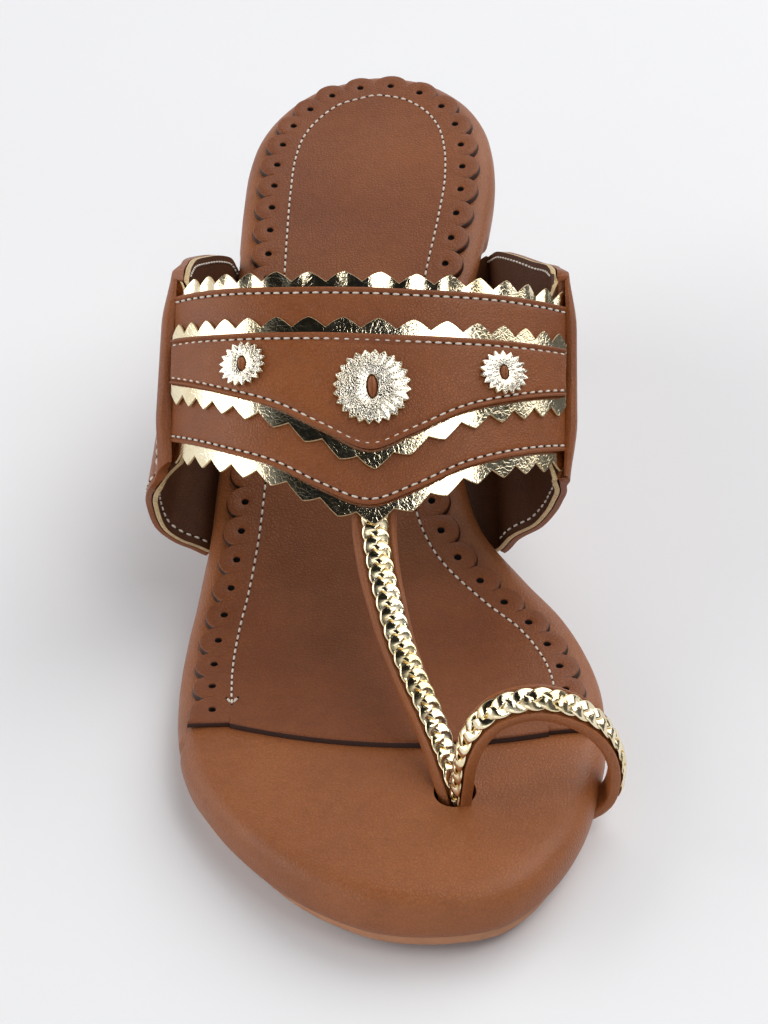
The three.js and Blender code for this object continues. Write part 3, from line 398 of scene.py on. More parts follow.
class Vault:
    """Face of the instep band, swept along a straight ridge.

    A place on it is an x, a distance r along the ridge from its back point, and an offset
    outward from the face.
    """

    RIDGE_X = 0.018 * Bed.WIDTH
    DROP = 16.0
    HALF = 0.487 * Bed.WIDTH
    POWER = 3
    DEPTH = 43.1
    MIDDLE = -0.42 * DEPTH
    RIDGE_BACK = 0.4414
    SAMPLES = 601
    SLOPE = math.radians(42)
    SEAMS = {
        Side.LATERAL: ((-0.461, -0.493), (0.2, -0.65)),
        Side.MEDIAL: ((0.505, 0.467), (0.093, -0.858)),
    }

    def __init__(self, bed: Bed) -> None:
        """Places the ridge over the bed and shares out the columns across the band."""
        self.back = bed.place(0, self.RIDGE_BACK * Bed.LENGTH, INSTEP_HEIGHT)
        self.along = np.array([0, math.cos(self.SLOPE), math.sin(self.SLOPE)])
        self.down = np.array([0, math.sin(self.SLOPE), -math.cos(self.SLOPE)])
        self.edges = BAND_EDGES * ([Bed.WIDTH] + [self.DEPTH] * 4)
        q = np.linspace(0, 1, self.SAMPLES)
        line = self.face(self.band_x(q, self.MIDDLE, 0), self.MIDDLE, 0)
        lengths = along(line)
        self.length_table = (lengths / lengths[-1], q)

    def face(self, x: np.ndarray, r: np.ndarray, offset: np.ndarray | float) -> np.ndarray:
        """Points over the vault.

        Args:
            x: Distance across.
            r: Distance along the ridge.
            offset: Distance outward from the face.

        Returns:
            Points with x, y and z on the last axis.
        """
        x, r, offset = np.broadcast_arrays(*(np.asarray(v, float) for v in (x, r, offset)))
        u = (x - self.RIDGE_X) / self.HALF
        drop = self.DROP * np.abs(u) ** self.POWER
        lean = self.DROP * self.POWER * np.abs(u) ** (self.POWER - 1) / self.HALF
        normal = np.broadcast_to(-self.down, x.shape + (3,)).copy()
        normal[..., 0] = lean * np.sign(u)
        point = np.stack([x, 0 * x, 0 * x], axis=-1) + self.back
        return (point + r[..., None] * self.along + drop[..., None] * self.down
                + offset[..., None] * unit(normal))

    def ends(self, side: Side) -> tuple[float, float]:
        """Places of the seam's back and front end along the ridge."""
        back, front = self.SEAMS[side][1]
        return back * self.DEPTH, front * self.DEPTH

    def seam_x(self, side: Side, r: np.ndarray | float) -> np.ndarray:
        """x of the seam at a place along the ridge."""
        back, front = self.SEAMS[side][0]
        r_back, r_front = self.ends(side)
        return Bed.WIDTH * (back + (front - back) * (r_back - np.asarray(r)) / (r_back - r_front))

    def band_x(self, q: np.ndarray, r: np.ndarray | float, clear: float) -> np.ndarray:
        """x at a share q of the way across, between the seams less a clearance."""
        a = self.seam_x(Side.LATERAL, r) + clear
        b = self.seam_x(Side.MEDIAL, r) - clear
        return a + (b - a) * q

    def share(self, u: np.ndarray) -> np.ndarray:
        """Share across at a share of the length over the vault."""
        return np.interp(u, *self.length_table)

    def edge(self, q: np.ndarray, column: int) -> np.ndarray:
        """Edge of the band, by column of its table, at shares across."""
        return read_smooth(self.edges, self.band_x(q, self.MIDDLE, 0), column)


class Layer(Enum):
    """Lower and upper offset of each leather or foil layer over the vault."""

    LINING = (-4.6, -3.1)
    LOWER_TRIM = (-2.8, -2.3)
    STRIP = (-2.0, -1.1)
    UPPER_TRIM = (-0.8, -0.3)
    MIDDLE = (0.0, 1.0)
    ROSETTE = (1.3, 1.9)
    PANEL = (-2.8, -1.6)


class Wall:
    """Side wall of the upper, ruled between a back and a front curve."""

    STEPS = 2
    LEAD = 0.06
    LIFT = 1.7
    NEAR = 0.15

    def __init__(self, bed: Bed, vault: Vault, side: Side) -> None:
        """Lays the two curves from the seam down to the end under the bed."""
        self.bed, self.vault, self.side = bed, vault, side
        rows = WALLS[side]
        self.tuck = TUCKS[side] * [Bed.WIDTH, Bed.LENGTH, Bed.WIDTH, Bed.LENGTH, Bed.THICK + 1]
        self.rows = len(rows)
        ends = vault.ends(side)

        def share(u: float) -> float:
            """Share across, counted from this side."""
            return 1 - u if side is Side.MEDIAL else u

        curves = []
        for end, column in ((0, 1), (1, 4)):
            inside = vault.edge(share(self.LEAD), column)
            lead = vault.face(vault.band_x(share(self.LEAD), inside, 0), inside, 0)
            seam = vault.face(vault.band_x(share(0), ends[end], 0), ends[end], 0)
            x, station, rise = rows[:, 3 * end:3 * end + 3].T
            height = rise * np.where(rise < 0, Bed.THICK, INSTEP_HEIGHT)
            wall = bed.place(x * Bed.WIDTH, station * Bed.LENGTH, height)
            tuck = bed.place(self.tuck[:, 2 * end], self.tuck[:, 2 * end + 1], -self.tuck[:, 4])
            curves.append(Spline(np.vstack([lead, seam, wall, tuck])))
        self.back, self.front = curves
        self.spans = len(self.back.points) - 1
        self.steps = (self.spans - 1) * self.STEPS

    def ruled(self, k: float, w: np.ndarray) -> np.ndarray:
        """Points of the bare wall.

        Args:
            k: Place down the wall from the seam.
            w: Shares from the front curve to the back one.

        Returns:
            One point for each share.
        """
        t = (1 + max(k, -0.9) / self.STEPS) / self.spans
        back, front = self.back.at(t), self.front.at(t)
        back_x, back_s, front_x, front_s, depth = self.tuck[1]
        w = w[:, None]
        first = self.bed.place(front_x, front_s, -depth)
        last = self.bed.place(back_x, back_s, -depth)
        bent = self.bed.place(front_x + (back_x - front_x) * w[:, 0],
                              front_s + (back_s - front_s) * w[:, 0], -depth)
        share = min(max(k / ((self.rows + 1) * self.STEPS), 0), 1) ** 2
        return front + (back - front) * w + (bent - first - (last - first) * w) * share

    def at(self, k: float, w: np.ndarray, offset: float | np.ndarray) -> np.ndarray:
        """Points of the wall, moved outward.

        Args:
            k: Place down the wall from the seam.
            w: Shares from the front curve to the back one.
            offset: Distance outward, before the lift of the wall off the vault.

        Returns:
            One point for each share.
        """
        w = np.asarray(w, float)
        u = min(max(k / (2 * self.STEPS), 0), 1)
        offset = offset + self.LIFT * u * u * (3 - 2 * u)
        if k <= 1e-6:
            r_back, r_front = self.vault.ends(self.side)
            r = r_front + (r_back - r_front) * w
            return self.vault.face(self.vault.seam_x(self.side, r), r, offset)
        here = self.ruled(k, w)
        down = self.ruled(min(k + self.NEAR, self.steps), w) - self.ruled(k - self.NEAR, w)
        chord = self.ruled(k, np.array([1.0])) - self.ruled(k, np.array([0.0]))
        normal = unit(np.cross(down, chord)) * -self.side.value
        blend = min(k, 1.0)
        if blend < 1:
            r_back, r_front = self.vault.ends(self.side)
            r = r_front + (r_back - r_front) * w
            x = self.vault.seam_x(self.side, r)
            flat = unit(self.vault.face(x, r, 1.0) - self.vault.face(x, r, 0.0))
            normal = unit(normal * -blend + flat * (1 - blend)) * -1
        return here - normal * np.asarray(offset)[..., None]

    def depths(self, ks: np.ndarray) -> np.ndarray:
        """Distance down the middle of the wall at places counted from the seam."""
        return along(np.array([self.at(k, np.array([0.5]), 0.0)[0] for k in ks]))


class Ribbon:
    """Centre line of a strap with its own direction across and half width."""

    def __init__(self, bed: Bed, table: np.ndarray, height: float, half: float) -> None:
        """Reads the table of places over the bed."""
        self.table = table
        rise = table[:, 2] * np.where(table[:, 2] < 0, Bed.THICK, height)
        self.line = Spline(bed.place(table[:, 0] * Bed.WIDTH, table[:, 1] * Bed.LENGTH, rise))
        self.rows = np.column_stack([np.arange(len(table)), table[:, 3] * half, table[:, 4:]])
        self.last = len(table) - 1

    def frames(self, u: np.ndarray) -> tuple[np.ndarray, np.ndarray, np.ndarray, np.ndarray]:
        """Frames along the strap.

        Args:
            u: Places along the table, by row.

        Returns:
            Points, directions across, directions up, and half widths.
        """
        u = np.asarray(u, float)
        t = u / self.last
        point = self.line.at(t)
        tangent = unit(self.line.at(np.minimum(t + 1e-3, 1)) - self.line.at(np.maximum(t - 1e-3, 0)))
        wide = np.column_stack([read_smooth(self.rows, u, c) for c in (2, 3, 4)])
        wide = unit(wide - np.sum(wide * tangent, axis=1, keepdims=True) * tangent)
        return point, wide, np.cross(wide, tangent), read_smooth(self.rows, u, 1)


class Finish:
    """Base of the finishes: makes its material once and hands it out."""

    made: dict[str, bpy.types.Material] = {}

    def material(self) -> bpy.types.Material:
        """The finish as a Blender material, built on first use."""
        name = getattr(self, "name")
        if name not in Finish.made:
            material = bpy.data.materials.new(name)
            material.use_nodes = True
            self.paint(Nodes(material))
            Finish.made[name] = material
        return Finish.made[name]

    def paint(self, nodes: "Nodes") -> None:
        """Lays the nodes of the finish."""
        raise NotImplementedError


class Nodes:
    """Short hand for wiring the shader nodes of one material."""

    def __init__(self, material: bpy.types.Material) -> None:
        """Starts from the material's own shader."""
        self.tree = material.node_tree
        self.shader = self.tree.nodes["Principled BSDF"]
        self.coords = self.add("ShaderNodeTexCoord").outputs["Object"]

    def add(self, kind: str, **sockets: object) -> bpy.types.Node:
        """Adds a node and sets or links its inputs.

        Args:
            kind: Blender's name of the node.
            sockets: Values or sockets by input name, underscores for spaces; names that
                start with a small letter set properties of the node.

        Returns:
            The new node.
        """
        node = self.tree.nodes.new(kind)
        for key, value in sockets.items():
            if key[0].islower():
                setattr(node, key, value)
        for key, value in sockets.items():
            if key[0].islower():
                continue
            socket = node.inputs[int(key[1:])] if key[0] == "I" and key[1:].isdigit() \
                else node.inputs[key.replace("_", " ")]
            if isinstance(value, bpy.types.NodeSocket):
                self.tree.links.new(value, socket)
            else:
                socket.default_value = value
        return node

    def math(self, operation: str, a: object, b: object = 0.0) -> bpy.types.NodeSocket:
        """Result of a sum, product or other operation on two values."""
        return self.add("ShaderNodeMath", operation=operation, I0=a, I1=b).outputs[0]

    def noise(self, scale: float, detail: float = 3.0, rough: float = 0.5,
              vector: bpy.types.NodeSocket | None = None) -> bpy.types.NodeSocket:
        """Noise over the object, scale in cells a metre."""
        return self.add("ShaderNodeTexNoise", Vector=vector or self.coords, Scale=scale,
                        Detail=detail, Roughness=rough).outputs["Fac"]

    def cells(self, scale: float, feature: str = "DISTANCE_TO_EDGE",
              vector: bpy.types.NodeSocket | None = None) -> bpy.types.NodeSocket:
        """Distance in a cell pattern, scale in cells a metre."""
        return self.add("ShaderNodeTexVoronoi", feature=feature, Vector=vector or self.coords,
                        Scale=scale).outputs["Distance"]

    def range(self, value: bpy.types.NodeSocket, low: float, high: float, to_low: float,
              to_high: float) -> bpy.types.NodeSocket:
        """Value moved from one range to another, kept inside it."""
        return self.add("ShaderNodeMapRange", Value=value, From_Min=low, From_Max=high,
                        To_Min=to_low, To_Max=to_high).outputs["Result"]

    def warp(self, scale: float, detail: float, reach: float) -> bpy.types.NodeSocket:
        """The object's coordinates, shifted by a noise."""
        noise = self.add("ShaderNodeTexNoise", Vector=self.coords, Scale=scale, Detail=detail)
        shift = self.add("ShaderNodeVectorMath", operation="SCALE", I0=noise.outputs["Color"],
                         Scale=reach)
        return self.add("ShaderNodeVectorMath", operation="ADD", I0=self.coords,
                        I1=shift.outputs[0]).outputs[0]

    def mottle(self, pattern: bpy.types.NodeSocket, low: float, high: float,
               deep: Sequence[int], base: Sequence[int]) -> bpy.types.NodeSocket:
        """Colour that turns from deep to base as a pattern rises from low to high."""
        return self.blend(self.range(pattern, low, high, 0.0, 1.0), colour(*deep), colour(*base))

    def blend(self, share: object, a: object, b: object, mode: str = "MIX") -> bpy.types.NodeSocket:
        """Mix of two colours."""
        node = self.add("ShaderNodeMix", data_type="RGBA", blend_type=mode)
        for index, value in ((0, share), (6, a), (7, b)):
            if isinstance(value, bpy.types.NodeSocket):
                self.tree.links.new(value, node.inputs[index])
            else:
                node.inputs[index].default_value = value
        return node.outputs[2]

    def set(self, **sockets: object) -> None:
        """Sets or links inputs of the shader."""
        for key, value in sockets.items():
            socket = self.shader.inputs[key.replace("_", " ")]
            if isinstance(value, bpy.types.NodeSocket):
                self.tree.links.new(value, socket)
            else:
                socket.default_value = value

    def raise_by(self, height: bpy.types.NodeSocket, depth: float, strength: float = 1.0,
                 normal: bpy.types.NodeSocket | None = None) -> bpy.types.NodeSocket:
        """Normal of a surface raised by a pattern, depth in metres."""
        sockets: dict[str, object] = {"Height": height, "Distance": depth, "Strength": strength}
        if normal is not None:
            sockets["Normal"] = normal
        return self.add("ShaderNodeBump", **sockets).outputs["Normal"]


def colour(red: int, green: int, blue: int) -> tuple[float, float, float, float]:
    """Linear colour from eight-bit display values."""
    return tuple((v / 255 / 12.92 if v <= 10 else ((v / 255 + 0.055) / 1.055) ** 2.4)
                 for v in (red, green, blue)) + (1.0,)


def darker(base: Sequence[int], share: float) -> tuple[int, ...]:
    """Display colour with each part brought down to a share."""
    return tuple(int(v * share) for v in base)


@dataclass(frozen=True)
class Leather(Finish):
    """Tanned leather with pebble grain, fine pores and soft clouds of dye."""

    name: str
    base: tuple[int, int, int]
    deep: tuple[int, int, int]
    roughness: float = 0.42
    grain: float = 1500.0
    depth: float = 0.0001

    def paint(self, nodes: Nodes) -> None:
        """Grain with painted shade in its creases, clouds of dye, worn spots of gloss."""
        clouds = nodes.noise(34, 4, 0.55)
        fine = nodes.noise(420, 3, 0.6)
        tone = nodes.math("ADD", nodes.math("MULTIPLY", clouds, 0.75),
                          nodes.math("MULTIPLY", fine, 0.25))
        base = nodes.mottle(tone, 0.36, 0.66, self.deep, self.base)
        pebble = nodes.cells(self.grain, "DISTANCE_TO_EDGE", nodes.warp(260.0, 2.0, 0.0011))
        pebble = nodes.range(pebble, 0.0, 0.28, 0.0, 1.0)
        # Painted shade: the creases between the pebbles are darkened to 0.82 of the colour.
        creases = nodes.range(pebble, 0.0, 0.5, 0.82, 1.0)
        pores = nodes.cells(self.grain * 2.2, "F1")
        base = nodes.blend(1.0, base, nodes.add("ShaderNodeCombineColor", Red=creases,
                                                Green=creases, Blue=creases).outputs[0],
                           "MULTIPLY")
        low = nodes.raise_by(nodes.noise(60, 3, 0.5), 0.0004, 0.5)
        grain = nodes.raise_by(pebble, self.depth, 0.55, low)
        normal = nodes.raise_by(pores, self.depth * 0.35, 0.4, grain)
        gloss = nodes.range(nodes.noise(90, 4, 0.6), 0.3, 0.7,
                            self.roughness - 0.06, self.roughness + 0.1)
        nodes.set(Base_Color=base, Roughness=gloss, Normal=normal, Specular_IOR_Level=0.3,
                  Coat_Weight=0.05, Coat_Roughness=0.35)


@dataclass(frozen=True)
class Foil(Finish):
    """Gold foil pressed on leather, creased in fine flats that catch the light."""

    name: str
    base: tuple[int, int, int] = (248, 236, 206)
    deep: tuple[int, int, int] = (236, 218, 178)
    crease: float = 900.0
    depth: float = 0.00003
    roughness: float = 0.11
    wave: float = 0.06
    fine: float = 0.22

    def paint(self, nodes: Nodes) -> None:
        """Creased metal with small flats of different gloss."""
        base = nodes.mottle(nodes.noise(160, 4, 0.6), 0.35, 0.65, self.deep, self.base)
        crease = nodes.cells(self.crease, "DISTANCE_TO_EDGE", nodes.warp(300.0, 3.0, 0.003))
        crease = nodes.range(crease, 0.0, 0.12, 0.0, 1.0)
        waves = nodes.raise_by(nodes.noise(110, 2, 0.5), 0.0014, self.wave)
        small = nodes.raise_by(nodes.noise(1500, 3, 0.6), 0.00012, self.fine, waves)
        normal = nodes.raise_by(crease, self.depth, 0.3, small)
        gloss = nodes.range(nodes.noise(900, 3, 0.6), 0.3, 0.7,
                            self.roughness - 0.04, self.roughness + 0.05)
        nodes.set(Base_Color=base, Metallic=1.0, Roughness=gloss, Normal=normal)


@dataclass(frozen=True)
class CutEdge(Finish):
    """Cut edge of foiled leather, painted cream gold."""

    name: str
    base: tuple[int, int, int] = (222, 192, 142)

    def paint(self, nodes: Nodes) -> None:
        """Fibres with a thin line of paint."""
        fibres = nodes.noise(2600, 4, 0.7)
        base = nodes.mottle(fibres, 0.35, 0.65, darker(self.base, 0.72), self.base)
        nodes.set(Base_Color=base, Roughness=0.55, Metallic=0.25,
                  Normal=nodes.raise_by(fibres, 0.00008, 0.5))


@dataclass(frozen=True)
class Thread(Finish):
    """Twisted polyester thread."""

    name: str
    base: tuple[int, int, int] = (238, 226, 210)

    def paint(self, nodes: Nodes) -> None:
        """Fine twist with a soft sheen."""
        twist = nodes.noise(5200, 2, 0.5)
        base = nodes.mottle(twist, 0.3, 0.7, darker(self.base, 0.8), self.base)
        nodes.set(Base_Color=base, Roughness=0.6, Sheen_Weight=0.3,
                  Normal=nodes.raise_by(twist, 0.00006, 0.6))


@dataclass(frozen=True)
class Resin(Finish):
    """Cast sole material with a dry, faintly mottled skin."""

    name: str
    base: tuple[int, int, int]
    roughness: float = 0.6

    def paint(self, nodes: Nodes) -> None:
        """Mottle, fine pitting and scuffs."""
        base = nodes.mottle(nodes.noise(70, 4, 0.6), 0.35, 0.65, darker(self.base, 0.9),
                            self.base)
        pits = nodes.raise_by(nodes.noise(1500, 3, 0.6), 0.00008, 0.5)
        gloss = nodes.range(nodes.noise(240, 3, 0.5), 0.3, 0.7, self.roughness - 0.08,
                            self.roughness + 0.1)
        nodes.set(Base_Color=base, Roughness=gloss, Normal=pits)


@dataclass(frozen=True)
class Paper(Finish):
    """Pale backdrop."""

    name: str
    base: tuple[int, int, int] = (232, 233, 236)

    def paint(self, nodes: Nodes) -> None:
        """Matte paper with the faintest cloud."""
        clouds = nodes.noise(6, 2, 0.5)
        dark = colour(*darker(self.base, 0.985))
        nodes.set(Base_Color=nodes.blend(clouds, dark, colour(*self.base)), Roughness=0.8)


class Dress(Enum):
    """The finishes of the sandal."""

    BAND = Leather("Band leather", (144, 81, 38), (123, 66, 30), 0.4)
    LINING = Leather("Lining leather", (84, 46, 21), (68, 36, 16), 0.58)
    BED = Leather("Bed leather", (152, 90, 49), (135, 78, 42), 0.42, 1300)
    SOCK = Leather("Sock leather", (133, 75, 38), (114, 61, 30), 0.46, 1300)
    HEEL = Leather("Heel leather", (151, 90, 49), (134, 78, 42), 0.42, 1300)
    STRAP = Leather("Strap leather", (152, 89, 47), (133, 76, 39), 0.4, 1700)
    FOIL = Foil("Gold foil")
    CRACKLE = Foil("Crackled foil", (250, 243, 228), (240, 228, 204), 2600, 0.00015, 0.16, 0.1)
    BRAID = Foil("Gold braid foil", (250, 236, 204), (234, 212, 162), 500, 0.00003, 0.14, 0.12)
    CUT = CutEdge("Cream cut edge")
    # Painted shadow: the sock's cut edge and the thin skirt round it are dark as the shadow lines
    # along its scallops and front edge.
    CUT_DARK = CutEdge("Burnished cut edge", (58, 30, 18))
    THREAD = Thread("White thread")
    SOLE = Resin("Sole resin", (186, 130, 94), 0.55)
    TIP = Resin("Heel tip rubber", (60, 38, 28), 0.6)
    # Painted shade: near black inside the punched holes of the sock and the needle holes of the
    # seams.
    HOLE = Resin("Punched hole", (16, 9, 7), 0.9)
    PAPER = Paper("Backdrop paper")

    @property
    def material(self) -> bpy.types.Material:
        """The finish as a material."""
        return self.value.material()


class Piece:
    """One object made from a Blender primitive and shaped by functions of its own surface."""

    def __init__(self, name: str, obj: bpy.types.Object) -> None:
        """Takes a new object in hand."""
        self.name, self.obj = name, obj
        obj.name = obj.data.name = name

    @staticmethod
    def clear() -> None:
        """Deselects everything, so that an operator acts on the new piece alone."""
        if bpy.context.object and bpy.context.object.mode != "OBJECT":
            bpy.ops.object.mode_set(mode="OBJECT")
        bpy.ops.object.select_all(action="DESELECT")

    @classmethod
    def sheet(cls, name: str, points: np.ndarray, loop: bool = False) -> "Piece":
        """Grid primitive laid over a net of points.

        Args:
            name: Name of the piece.
            points: Net of points in millimetres, rows by columns.
            loop: True if the last column meets the first, or the rim closes on itself.

        Returns:
            The new piece.
        """
        rows, columns = points.shape[:2]
        cls.clear()
        bpy.ops.mesh.primitive_grid_add(x_subdivisions=rows - 1, y_subdivisions=columns - 1,
                                        size=2)
        piece = cls(name, bpy.context.object)
        mesh = piece.obj.data
        flat = vertices_of(mesh)
        i = np.rint((flat[:, 0] + 1) / 2 * (rows - 1)).astype(int)
        j = np.rint((flat[:, 1] + 1) / 2 * (columns - 1)).astype(int)
        move_vertices(mesh, points[i, j])
        if loop:
            piece.weld()
        return piece

    @classmethod
    def mesh(cls, name: str, points: np.ndarray, faces: Sequence[Sequence[int]]) -> "Piece":
        """Mesh from points in millimetres and faces."""
        cls.clear()
        data = bpy.data.meshes.new(name)
        data.from_pydata((points * MM).tolist(), [], [list(f) for f in faces])
        data.update()
        obj = bpy.data.objects.new(name, data)
        bpy.context.scene.collection.objects.link(obj)
        bpy.context.view_layer.objects.active = obj
        obj.select_set(True)
        return cls(name, obj)

    def only(self) -> None:
        """Makes this piece the one that is selected and active."""
        self.clear()
        bpy.context.view_layer.objects.active = self.obj
        self.obj.select_set(True)

    def weld(self, distance: float = 0.002, shed: bool = True) -> "Piece":
        """Joins points that coincide, sheds faces without area, turns the faces outward."""
        self.only()
        bpy.ops.object.mode_set(mode="EDIT")
        bpy.ops.mesh.select_all(action="SELECT")
        bpy.ops.mesh.remove_doubles(threshold=distance * MM)
        if shed:
            bpy.ops.mesh.dissolve_degenerate(threshold=1e-7)
        bpy.ops.mesh.normals_make_consistent(inside=False)
        bpy.ops.object.mode_set(mode="OBJECT")
        return self

    def modify(self, kind: str, **values: object) -> "Piece":
        """Adds a modifier with its values and applies it."""
        self.only()
        modifier = self.obj.modifiers.new(kind.title(), kind)
        for key, value in values.items():
            setattr(modifier, key, value)
        bpy.ops.object.modifier_apply(modifier=modifier.name)
        return self

    def thick(self, thickness: float, weights: np.ndarray | None = None,
              rim: int = 0) -> "Piece":
        """Gives a sheet its thickness on the inner side.

        Args:
            thickness: Wall in millimetres.
            weights: Share of the wall at each point, 1 where it is omitted.
            rim: How many material slots further the cut edge takes its finish from.

        Returns:
            The piece.
        """
        values: dict[str, object] = {"thickness": thickness * MM, "offset": -1.0,
                                     "use_even_offset": False, "material_offset_rim": rim}
        if weights is not None:
            group = self.obj.vertex_groups.new(name="wall")
            for index, weight in enumerate(weights):
                group.add([index], float(weight), "REPLACE")
            values["vertex_group"] = "wall"
        self.modify("SOLIDIFY", **values)
        return self

    def soften(self, width: float, segments: int = 2, angle: float = 40) -> "Piece":
        """Rounds the sharp edges and smooths the shading."""
        self.modify("BEVEL", width=width * MM, segments=segments, limit_method="ANGLE",
                    angle_limit=math.radians(angle), use_clamp_overlap=True,
                    harden_normals=False)
        return self

    def smooth(self, angle: float = 50) -> "Piece":
        """Smooth shading, with creases past an angle."""
        self.only()
        bpy.ops.object.shade_smooth_by_angle(angle=math.radians(angle))
        return self

    def dress(self, *finishes: Dress) -> "Piece":
        """Gives the piece its finishes, one material slot each."""
        for finish in finishes:
            self.obj.data.materials.append(finish.material)
        return self

    def seat(self, slot: str, *nodes: str) -> "Piece":
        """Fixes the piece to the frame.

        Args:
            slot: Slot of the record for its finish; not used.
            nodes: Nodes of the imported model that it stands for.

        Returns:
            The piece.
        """
        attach(self.obj, "root")
        if nodes:
            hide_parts(*nodes)
        LOG.info("%s: %d faces", self.name, len(self.obj.data.polygons))
        return self


class Sewing:
    """Machine stitches along a line on leather, with the needle holes between them painted dark as
    shade.
    """

    def __init__(self, pitch: float = 1.95, length: float = 1.35, width: float = 0.46,
                 height: float = 0.3) -> None:
        """Models one stitch, which every seam copies."""
        self.pitch, self.height = pitch, height
        Piece.clear()
        bpy.ops.mesh.primitive_uv_sphere_add(segments=8, ring_count=6, radius=1.0)
        ball = bpy.context.object
        ball_points = vertices_of(ball.data)
        points = ball_points[:, [2, 0, 1]]
        points[:, 0] = signed_power(points[:, 0], 0.7)
        points = points * [length / 2, width / 2, height]
        points[:, 2] -= height * 0.5 * (points[:, 0] / (length / 2)) ** 4
        # Flat disc between two stitches, painted dark as the shade in a needle hole.
        hole = ball_points * [0.26, 0.24, 0.1] + [pitch / 2, 0.0, 0.0]
        self.points = np.vstack([points, hole])
        stitch = [tuple(p.vertices) for p in ball.data.polygons]
        self.thread_faces = len(stitch)
        self.faces = stitch + [tuple(v + len(points) for v in face) for face in stitch]
        bpy.data.objects.remove(ball)

    def line(self, path: np.ndarray, normals: np.ndarray) -> tuple[np.ndarray, list]:
        """Stitches at equal steps along a path.

        Args:
            path: Points on the surface.
            normals: Directions out of the surface at those points.

        Returns:
            Points and faces of all the stitches.
        """
        lengths = along(path)
        count = max(int(lengths[-1] // self.pitch), 1)
        at = (np.arange(count) + 0.5) * lengths[-1] / count
        half = self.pitch * 0.3
        centre = read_path(path, lengths, at)
        ahead = unit(read_path(path, lengths, at + half) - read_path(path, lengths, at - half))
        up = read_path(normals, lengths, at)
        up = unit(up - np.sum(up * ahead, axis=1, keepdims=True) * ahead)
        sideways = np.cross(up, ahead)
        points = (centre[:, None] + self.points[None, :, :1] * ahead[:, None]
                  + self.points[None, :, 1:2] * sideways[:, None]
                  + self.points[None, :, 2:] * up[:, None])
        size = len(self.points)
        faces = [tuple(v + size * k for v in face) for k in range(count) for face in self.faces]
        return points.reshape(-1, 3), faces

    def sew(self, name: str, lines: Sequence[tuple[np.ndarray, np.ndarray]], slot: str) -> Piece:
        """One piece of thread for several seams.

        Args:
            name: Name of the piece.
            lines: Path and normals of each seam.
            slot: Slot of the record for the thread; not used.

        Returns:
            The new piece.
        """
        points, faces, start = [], [], 0
        for path, normals in lines:
            some, those = self.line(path, normals)
            points.append(some)
            faces += [tuple(v + start for v in face) for face in those]
            start += len(some)
        # The needle holes take the near-black finish, painted shade.
        piece = Piece.mesh(name, np.vstack(points), faces).dress(Dress.THREAD, Dress.HOLE)
        hole = np.arange(len(faces)) % len(self.faces) >= self.thread_faces
        piece.obj.data.polygons.foreach_set("material_index", hole.astype(int))
        return piece.smooth(80).seat(slot)


def spaced(marks: Sequence[float], length: float, middle: int, both: bool) -> np.ndarray:
    """Shares across a strip, with rows at set distances from its edges.

    Args:
        marks: Distances from the edge that get a row of their own.
        length: Width of the strip.
        middle: Rows over the rest.
        both: True if the far edge gets the marks too.

    Returns:
        Rising shares from 0 to 1.
    """
    near = np.array(marks) / length
    far = 1 - near[::-1] if both else np.array([1 - 0.5 / length, 1.0])
    inner = np.linspace(near[-1], far[0], middle + 2)[1:-1]
    return np.concatenate([near, inner, far])


